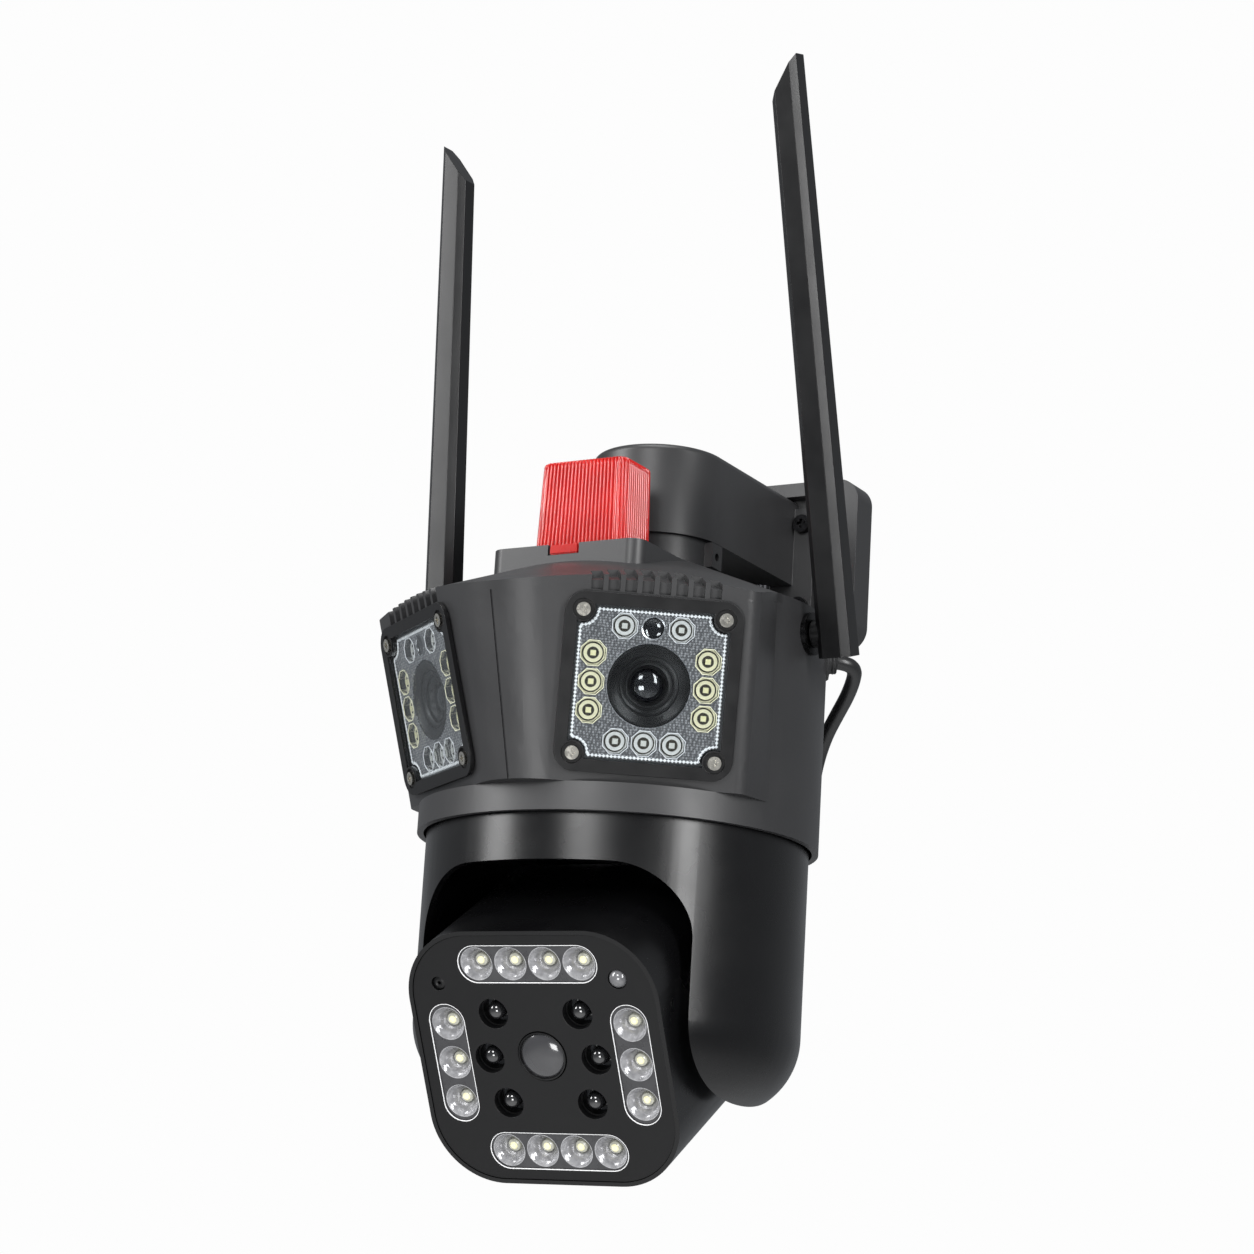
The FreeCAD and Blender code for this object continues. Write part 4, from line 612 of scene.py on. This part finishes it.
def tooth_tree(finish):
    """Small prisms at an even pitch along a path, on a fine wire."""
    tree, start, end = geometry_tree("serrated_border", Pitch=1.2, Tooth=0.8, Wire=0.2)
    path = add(tree, "GeometryNodeMeshToCurve", {"Mesh": start.outputs["Geometry"]})
    spots = add(tree, "GeometryNodeResampleCurve", {"Curve": path.outputs[0],
                                                    "Length": start.outputs["Pitch"]}, mode="LENGTH")
    tooth_size = add(tree, "ShaderNodeCombineXYZ", {"X": start.outputs["Tooth"],
                                                    "Y": start.outputs["Wire"],
                                                    "Z": start.outputs["Tooth"]})
    tooth = add(tree, "GeometryNodeMeshCube", {"Size": tooth_size.outputs[0]})
    slant = add(tree, "GeometryNodeTransform", {"Geometry": tooth.outputs["Mesh"],
                                                "Rotation": (0, math.radians(45), 0)})
    placed = add(tree, "GeometryNodeInstanceOnPoints", {"Points": spots.outputs[0],
                                                        "Instance": slant.outputs[0]})
    real = add(tree, "GeometryNodeRealizeInstances", {"Geometry": placed.outputs[0]})
    section = add(tree, "GeometryNodeCurvePrimitiveCircle", {"Resolution": 6,
                                                             "Radius": start.outputs["Wire"]})
    wire = add(tree, "GeometryNodeCurveToMesh", {"Curve": path.outputs[0],
                                                 "Profile Curve": section.outputs[0]})
    join = add(tree, "GeometryNodeJoinGeometry")
    tree.links.new(real.outputs[0], join.inputs[0])
    tree.links.new(wire.outputs[0], join.inputs[0])
    painted = add(tree, "GeometryNodeSetMaterial", {"Geometry": join.outputs[0], "Material": finish})
    tree.links.new(painted.outputs[0], end.inputs[0])
    return tree


# Embossed edge of the window's film: pale, a painted highlight that stands in for the light its facets
# throw back.
painted_highlight_finish = mottled("embossed_edge", "#dadadb", "#fafafa", 1.5, 0.28, 0.08, 0.3, 0.01)
border = tooth_tree(painted_highlight_finish)
border_half, border_notch = 22.7, 4.9
for side_name, place in BAYS.items():
    outline = notched_square(border_half, border_notch)
    points = [(x, film_depth - 0.25, z) for x, z in outline]
    ties = [(index, (index + 1) % len(points)) for index in range(len(points))]
    grown(side_name + "_window_border", border, points, ties,
          {"Pitch": 1.2, "Tooth": 0.82, "Wire": 0.2}, place, "housing", "clear_window")

# Lens barrels are turned and anodised black, with stepped rings that kill stray light.
anodised = mottled("black_anodise", "#050506", "#0a0a0b", 5, 0.38, 0.05, 0.4, 0.004,
                   Specular_IOR_Level=0.3)
# Clear dome over the optics, coated: black, with a cold glint.
coated_glass = mottled("coated_glass", "#010103", "#04040a", 3, 0.03, 0.01, 2, 0.0, Coat_Weight=1.0,
                       Coat_Roughness=0.02)
bright_ring = drawn_metal("turned_ring", "#9a9a9c", "#c9c9cb", 0.25)
barrel = [(13.0, 4.4), (13.0, 1.85), (12.7, 1.6), (12.2, 1.6), (11.8, 1.85), (9.6, 2.7), (9.4, 3.4),
          (9.0, 3.5), (8.9, 3.2), (8.3, 3.3), (7.6, 3.9), (7.5, 4.6), (7.1, 4.7), (7.0, 4.3),
          (6.5, 4.4), (5.6, 5.4), (5.35, 5.9), (5.35, 9.0), (4.0, 9.0), (4.0, 20.0), (9.2, 20.0),
          (9.2, 4.4)]
for side_name, place in BAYS.items():
    made(side_name + "_lens_hood", lathe(barrel, 96), place, anodised, "housing", "barrel_black",
         side_name + "_lens_barrel")
    made(side_name + "_hood_ring", lathe([(13.02, 1.95), (13.3, 1.95), (13.3, 1.6), (13.02, 1.6)], 96),
         place, bright_ring, "housing", "barrel_black")
    dome = [(0, 4.75), (1.5, 4.85), (3.0, 5.2), (4.3, 5.8), (5.25, 6.7), (5.25, 8.9), (0, 8.9)]
    made(side_name + "_lens_dome", lathe(dome, 64), place, coated_glass, "housing", "lens_glass",
         "bay_lens_glasses")
    eye = [(0, 2.5), (1.6, 2.4), (2.7, 2.1), (3.0, 1.9), (3.0, 4.4), (0, 4.4)]
    made(side_name + "_daylight_sensor", lathe(eye, 40),
         place @ Matrix.Translation((0, 0, lamp_ring)), coated_glass, "housing", "barrel_black",
         "bay_light_sensors")
    made(side_name + "_sensor_ring", lathe([(3.05, 2.2), (3.6, 2.2), (3.75, 1.6), (3.3, 1.5)], 40),
         place @ Matrix.Translation((0, 0, lamp_ring)), bright_ring, "housing", "clear_lens")
coat(nickel, "window_screws")

# ---------------------------------------------------------------- strobe
# A translucent red polycarbonate lens, moulded with fine upright flutes on its walls and a beaded
# top edge.  It stands on the deck over a small lamp board.


def red_polycarbonate():
    """Dyed polycarbonate: deep red in its thickness, and pale red where its flutes catch light."""
    material, tree, shader = blank("red_polycarbonate")
    place = add(tree, "ShaderNodeTexCoord").outputs["Object"]
    cloud = add(tree, "ShaderNodeTexNoise", {"Vector": place, "Scale": 1 / (10 * MM), "Detail": 3.0})
    tone = add(tree, "ShaderNodeMix", {0: cloud.outputs["Fac"], 6: linear("#a80c08"),
                                       7: linear("#d81c14")}, data_type="RGBA")
    tree.links.new(tone.outputs[2], shader.inputs["Base Color"])
    shader.inputs["Roughness"].default_value = 0.16
    shader.inputs["IOR"].default_value = 1.58
    shader.inputs["Transmission Weight"].default_value = 0.35
    shader.inputs["Subsurface Weight"].default_value = 0.12
    shader.inputs["Subsurface Radius"].default_value = (0.006, 0.0015, 0.001)
    shader.inputs["Subsurface Scale"].default_value = 1.0
    return material


def rounded_loop(half_x, front, back, corner, count):
    """Points and outward directions, evenly spaced round a rounded rectangle."""
    wide, deep = 2 * (half_x - corner), back - front - 2 * corner
    runs = [(wide, 0), (math.pi / 2 * corner, 1), (deep, 0), (math.pi / 2 * corner, 1)] * 2
    total = sum(length for length, _ in runs)
    points = []
    for index in range(count):
        along, turn = total * index / count, 0.0
        x, y = -(half_x - corner), front
        for length, bend in runs:
            step = min(along, length)
            if bend:
                angle = step / corner
                inner = (x - corner * math.sin(turn), y + corner * math.cos(turn))
                turn += angle
                x = inner[0] + corner * math.sin(turn)
                y = inner[1] - corner * math.cos(turn)
            else:
                x += step * math.cos(turn)
                y += step * math.sin(turn)
            along -= step
            if along <= 0:
                break
        points.append(((x, y), (math.sin(turn), -math.cos(turn))))
    return points


lens_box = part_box("strobe_lens")
deck_high = (lens_box[0].z - joints["pan"]["pos_m"][2]) / MM
lens_tall = (lens_box[1].z - lens_box[0].z) / MM
flutes, flute_steps, flute_deep = 72, 6, 0.6
loop_count = flutes * flute_steps
strobe_half, strobe_front, strobe_back, strobe_corner = 17.0, -38.6, -17.6, 4.0
bm = bmesh.new()
levels = [(0.0, 0.0, 0.0), (0.6, 0.0, 1.0), (lens_tall - 2.6, 0.85, 1.0), (lens_tall - 2.1, 0.95, 0.2),
          (lens_tall - 1.5, 0.85, 0.9), (lens_tall - 0.7, 1.1, 1.0), (lens_tall - 0.15, 1.9, 0.6),
          (lens_tall, 3.0, 0.0)]
rings = []
for high, inset, strength in levels:
    loop = rounded_loop(strobe_half - inset, strobe_front + inset * 0.8, strobe_back - inset * 0.8,
                        strobe_corner - inset * 0.6, loop_count)
    ring = []
    for index, ((x, y), (out_x, out_y)) in enumerate(loop):
        wave = abs(math.sin(math.pi * index / flute_steps))
        sunk = flute_deep * strength * (1 - wave)
        ring.append(bm.verts.new((x - out_x * sunk, y - out_y * sunk, deck_high + high)))
    rings.append(ring)
walls = [(lens_tall - 2.0, 3.0), (0.0, 2.2)]
for high, inset in walls:
    loop = rounded_loop(strobe_half - inset, strobe_front + inset, strobe_back - inset,
                        strobe_corner - inset * 0.8, loop_count)
    rings.append([bm.verts.new((x, y, deck_high + high)) for (x, y), _ in loop])
for first, second in zip(rings, rings[1:]):
    if first is rings[len(levels) - 1]:
        continue
    for index in range(loop_count):
        after = (index + 1) % loop_count
        bm.faces.new((first[index], first[after], second[after], second[index]))
bm.faces.new(rings[len(levels) - 1])
bm.faces.new(rings[len(levels)])
for index in range(loop_count):
    after = (index + 1) % loop_count
    bm.faces.new((rings[-1][index], rings[-1][after], rings[0][after], rings[0][index]))
bmesh.ops.recalc_face_normals(bm, faces=bm.faces)
red_lens = red_polycarbonate()
made("strobe_fluted_lens", bm, HOUSING, red_lens, "housing", "red_lens", "strobe_lens")
tab = bmesh.new()
bmesh.ops.create_cube(tab, size=1.0, matrix=Matrix.Translation((0, -45.6, deck_high - 1.7))
                      @ Matrix.Diagonal((10.6, 1.6, 3.2, 1)))
bmesh.ops.bevel(tab, geom=tab.edges, offset=0.35, segments=2, affect="EDGES")
made("strobe_latch_tab", tab, HOUSING, red_lens, "housing", "red_lens")

# ---------------------------------------------------------------- antennas
# Two paddle antennas in a stiff satin rubber over their whips, chamfered along their edges, each
# turning on a plated jack with a washer against the housing.
antenna_rubber = mottled("antenna_tpe", "#060607", "#0b0b0c", 14, 0.34, 0.04, 0.4, 0.006,
                         Specular_IOR_Level=0.34)
for side_name in ("left", "right"):
    rounded(side_name + "_antenna", 0.55, antenna_rubber)
brass = drawn_metal("black_plated_brass", "#1b1b1c", "#2d2d2e", 0.3)
coat(brass, "antenna_jacks")

# ---------------------------------------------------------------- yoke
# A glossy black ABS shell, moulded in one: a drum under the housing, two hollow cheeks and a
# rounded opening in which the head tilts.
black_abs = mottled("black_abs", "#050506", "#09090a", 20, 0.28, 0.03, 0.5, 0.004,
                    Specular_IOR_Level=0.36)
rounded("yoke_shell", 0.6, black_abs)
acetal = mottled("white_acetal", "#d9d9d4", "#efefe9", 6, 0.42, 0.05, 0.4, 0.01)
coat(acetal, "pan_gear", "pan_pinion", "tilt_gear", "tilt_pinion", "tilt_bushes")
spring_steel = drawn_metal("spring_steel", "#6d6f73", "#8b8d91", 0.3)
coat(spring_steel, "neck_clip", "tilt_axles", "motor_bracket", "pan_motor", "tilt_motor")

# ---------------------------------------------------------------- head
# The head is a black shell with a matt face plate let into its front: four rows of bright lamp
# cups, six infrared lamps in wells, a lens in the middle, a light sensor and a microphone.
rest_pan, rest_tilt = math.radians(4.67), math.radians(29.8)
HEAD = (Matrix.Translation(joints["tilt"]["pos_m"]) @ Matrix.Scale(MM, 4)
        @ Matrix.Rotation(rest_pan, 4, "Z") @ Matrix.Rotation(rest_tilt, 4, "X"))
rounded("head_shell", 0.45, black_abs)
face_black = mottled("matt_face", "#060607", "#0a0a0b", 16, 0.42, 0.03, 0.5, 0.008,
                     Specular_IOR_Level=0.28)
rounded("head_face", 0.25, face_black)
rounded("card_hatch", 0.3, black_abs)

cup_pitch_x, cup_pitch_z, cup_row, side_drop = 11.75, 13.1, 31.4, 1.8
cup_spots = ([(x * cup_pitch_x, z * cup_row) for z in (-1, 1) for x in (-1.5, -0.5, 0.5, 1.5)]
             + [(x * cup_row, z * cup_pitch_z - side_drop) for x in (-1, 1) for z in (-1, 0, 1)])


def bowl_profile(mouth, throat, deep, steps=12):
    """A lamp cup's wall, 0.2 mm thick: it opens to its mouth with two soft steps."""
    inner = [(throat + (mouth - throat) * step / steps, -deep * step / steps
              - 0.12 * math.sin(4 * math.pi * step / steps)) for step in range(steps + 1)]
    outer = [(radius + 0.2, along) for radius, along in reversed(inner)]
    return inner + outer


# Vacuum-metallised polycarbonate: a soft mirror, half pale ground and half reflection, because the
# real cup scatters as much as it mirrors.
silvered = mottled("vacuum_metallised", "#77777a", "#c4c4c6", 2.0, 0.2, 0.08, 0.6, 0.02, Metallic=0.45,
                   Coat_Weight=0.6, Coat_Roughness=0.08)
cup_carrier = mottled("smoked_carrier", "#242426", "#3c3c3e", 4, 0.3, 0.08, 0.5, 0.01)
coat(cup_carrier, "head_reflectors")
pedestal_clear = mottled("lamp_pedestal", "#8d8d80", "#c9c9bc", 1.5, 0.18, 0.05, 0.5, 0.01)
cup_base = -46.6
bowl = lathe(bowl_profile(5.3, 2.2, 4.9), 40)
stem = lathe([(0, -1.6), (1.4, -1.6), (2.0, -1.2), (2.2, -0.2), (2.2, 0.8), (0, 0.8)], 28)
chip_disc = lathe([(0, -2.0), (0.9, -1.95), (1.25, -1.65), (1.25, -1.4), (0, -1.4)], 20)


def scattered(name, parts, spots, body, slot, *replaced):
    """Geometry nodes that put copies of finished shapes on points, each with its own finish."""
    tree, start, end = geometry_tree(name, Size=1.0)
    join = add(tree, "GeometryNodeJoinGeometry")
    sources = []
    for index, (bm, finish) in enumerate(parts):
        mesh = bpy.data.meshes.new("%s_shape_%d" % (name, index))
        bm.to_mesh(mesh)
        bm.free()
        for face in mesh.polygons:
            face.use_smooth = True
        mesh.set_sharp_from_angle(angle=math.radians(35))
        source = bpy.data.objects.new(mesh.name, mesh)
        scene.collection.objects.link(source)
        sources.append(source)
        shape = add(tree, "GeometryNodeObjectInfo", {"Object": source})
        placed = add(tree, "GeometryNodeInstanceOnPoints", {
            "Points": start.outputs["Geometry"], "Instance": shape.outputs["Geometry"],
            "Scale": start.outputs["Size"]})
        real = add(tree, "GeometryNodeRealizeInstances", {"Geometry": placed.outputs[0]})
        painted = add(tree, "GeometryNodeSetMaterial", {"Geometry": real.outputs[0],
                                                        "Material": finish})
        tree.links.new(painted.outputs[0], join.inputs[0])
    tree.links.new(join.outputs[0], end.inputs[0])
    piece = grown(name, tree, spots, [], {"Size": 1.0}, HEAD, body, slot, *replaced)
    for source in sources:
        bpy.data.objects.remove(source)
    return piece


scattered("head_lamp_cups", [(bowl, silvered), (stem, pedestal_clear), (chip_disc, warm_chip)],
          [(x, cup_base, z) for x, z in cup_spots], "head", "reflector", "head_led_dies")



def stadium(half_x, half_z, x=0.0, z=0.0, sides=20):
    """Outline of a slot with round ends."""
    radius = min(half_x, half_z)
    outline = []
    for quarter, (side_x, side_z) in enumerate(((1, 1), (-1, 1), (-1, -1), (1, -1))):
        outline += circle(radius, x + side_x * (half_x - radius), z + side_z * (half_z - radius), sides,
                          90 * quarter, 90 * quarter + 90)
    return outline


# Round each slot, a thin pale line of painted highlight stands in for the light on the edge of the
# row's clear moulding.
slot_long, slot_tall, slot_thin = 24.0, 20.0, 6.3
rows = ((slot_long, slot_thin, 0, cup_row), (slot_long, slot_thin, 0, -cup_row),
        (slot_thin, slot_tall, -cup_row, -side_drop), (slot_thin, slot_tall, cup_row, -side_drop))
for row, (half_x, half_z, x, z) in enumerate(rows):
    line = cut_sheet("row_line", [stadium(half_x - 0.05, half_z - 0.05, x, z),
                                  stadium(half_x - 0.25, half_z - 0.25, x, z)], 0.3)
    made("head_row_line_%d" % row, line, HEAD @ Matrix.Translation((0, -51.9, 0)), painted_highlight_finish, "head",
         "clear_lens")

# Infrared lamps: smoked epoxy domes at the bottom of black wells.
smoked = mottled("smoked_epoxy", "#131314", "#232325", 2, 0.06, 0.02, 1, 0.0, Coat_Weight=1.0,
                 Coat_Roughness=0.03)
ir_spots = [(-14.5, 15.0), (14.5, 15.0), (-18.4, 0.0), (18.4, 0.0), (-14.5, -15.0), (14.5, -15.0)]
ir_lamp = lathe([(0, -3.1), (1.1, -2.95), (2.1, -2.4), (2.75, -1.4), (2.95, 0.0), (2.95, 2.0),
                 (3.5, 2.0), (3.5, 3.0), (0, 3.0)], 36)
scattered("head_infrared_lamps", [(ir_lamp, smoked)], [(x, -48.6, z) for x, z in ir_spots], "head",
          "ir_led", "head_ir_leds")
wall = lathe([(4.98, -49.4), (4.98, -45.6), (4.7, -45.6), (4.7, -49.4)], 40)
scattered("head_lamp_wells", [(wall, pad_rubber)], [(x, 0, z) for x, z in ir_spots], "head",
          "face_black")

lens_middle = HEAD @ Matrix.Translation((0, 0, 0.9))
made("head_lens_rim", lathe([(8.0, -52.5), (8.0, -20), (3.6, -20), (3.6, -42), (6.9, -42),
                             (6.9, -51.4), (7.6, -52.6)], 80), lens_middle, anodised, "head",
     "barrel_black", "head_lens_barrel")
# The head's lens shows as a smooth grey disc: its grey colour is painted reflection of the pale
# surroundings in the clear cover, and its coat adds real gloss.
grey_window = mottled("grey_window", "#2b2b2d", "#363638", 6, 0.16, 0.02, 3, 0.0, Coat_Weight=0.6,
                      Coat_Roughness=0.04)
made("head_lens_window", lathe([(0, -53.6), (2.5, -53.45), (5.0, -53.0), (6.6, -52.4), (7.3, -51.9),
                                (6.85, -51.5), (6.85, -42), (0, -42)], 80), lens_middle, grey_window,
     "head", "lens_glass", "head_lens_glass")
eye_place = HEAD @ Matrix.Translation((30.0, 0, 26.5))
eye_clear = mottled("frosted_epoxy", "#4b4b4d", "#6a6a6c", 2, 0.14, 0.04, 1, 0.0, Coat_Weight=0.8,
                    Coat_Roughness=0.05)
made("head_daylight_sensor", lathe([(0, -53.7), (1.2, -53.5), (2.2, -52.9), (2.9, -51.8), (2.95, -50),
                                    (2.95, -45.6), (0, -45.6)], 40), eye_place, eye_clear, "head",
     "sensor", "head_light_sensor")
mic_place = HEAD @ Matrix.Translation((-32.0, 0, 25.0))
made("head_microphone_can", lathe([(0.45, -50.2), (0.6, -51.4), (1.2, -51.6), (2.0, -51.4),
                                   (2.2, -51.0), (2.2, -45.6), (0.45, -45.6)], 32), mic_place,
     anodised, "head", "barrel_black", "head_microphone")

# ---------------------------------------------------------------- boards and drives inside
# Glass-epoxy boards under a solder mask, with tinned pads and tracks; nickel and brass fittings.


def solder_mask(name, ground, track):
    """Solder mask over copper: a square maze of tracks, 1.2 mm apart, paler than the ground."""
    material, tree, shader = blank(name)
    place = add(tree, "ShaderNodeTexCoord").outputs["Object"]
    maze = add(tree, "ShaderNodeTexVoronoi", {"Vector": place, "Scale": 1 / (2.4 * MM)},
               distance="MANHATTAN", feature="F1")
    lines = add(tree, "ShaderNodeMapRange", {"Value": maze.outputs["Distance"], "From Min": 0.42,
                                             "From Max": 0.5})
    tone = add(tree, "ShaderNodeMix", {0: lines.outputs["Result"], 6: linear(ground),
                                       7: linear(track)}, data_type="RGBA")
    tree.links.new(tone.outputs[2], shader.inputs["Base Color"])
    shader.inputs["Roughness"].default_value = 0.35
    return material


green_mask = solder_mask("green_mask", "#0f4a2a", "#1f6b3f")
dark_mask = solder_mask("black_mask", "#141516", "#232528")
white_mask = solder_mask("white_mask", "#d6d6d2", "#eeeeea")
coat(green_mask, "main_board")
coat(dark_mask, "bay_led_boards", "bay_sensor_boards", "head_led_board", "head_sensor_board")
coat(white_mask, "strobe_board")
coat(cool_chip, "strobe_leds")
coat(nickel, "board_standoffs")
coat(face_black, "speaker")
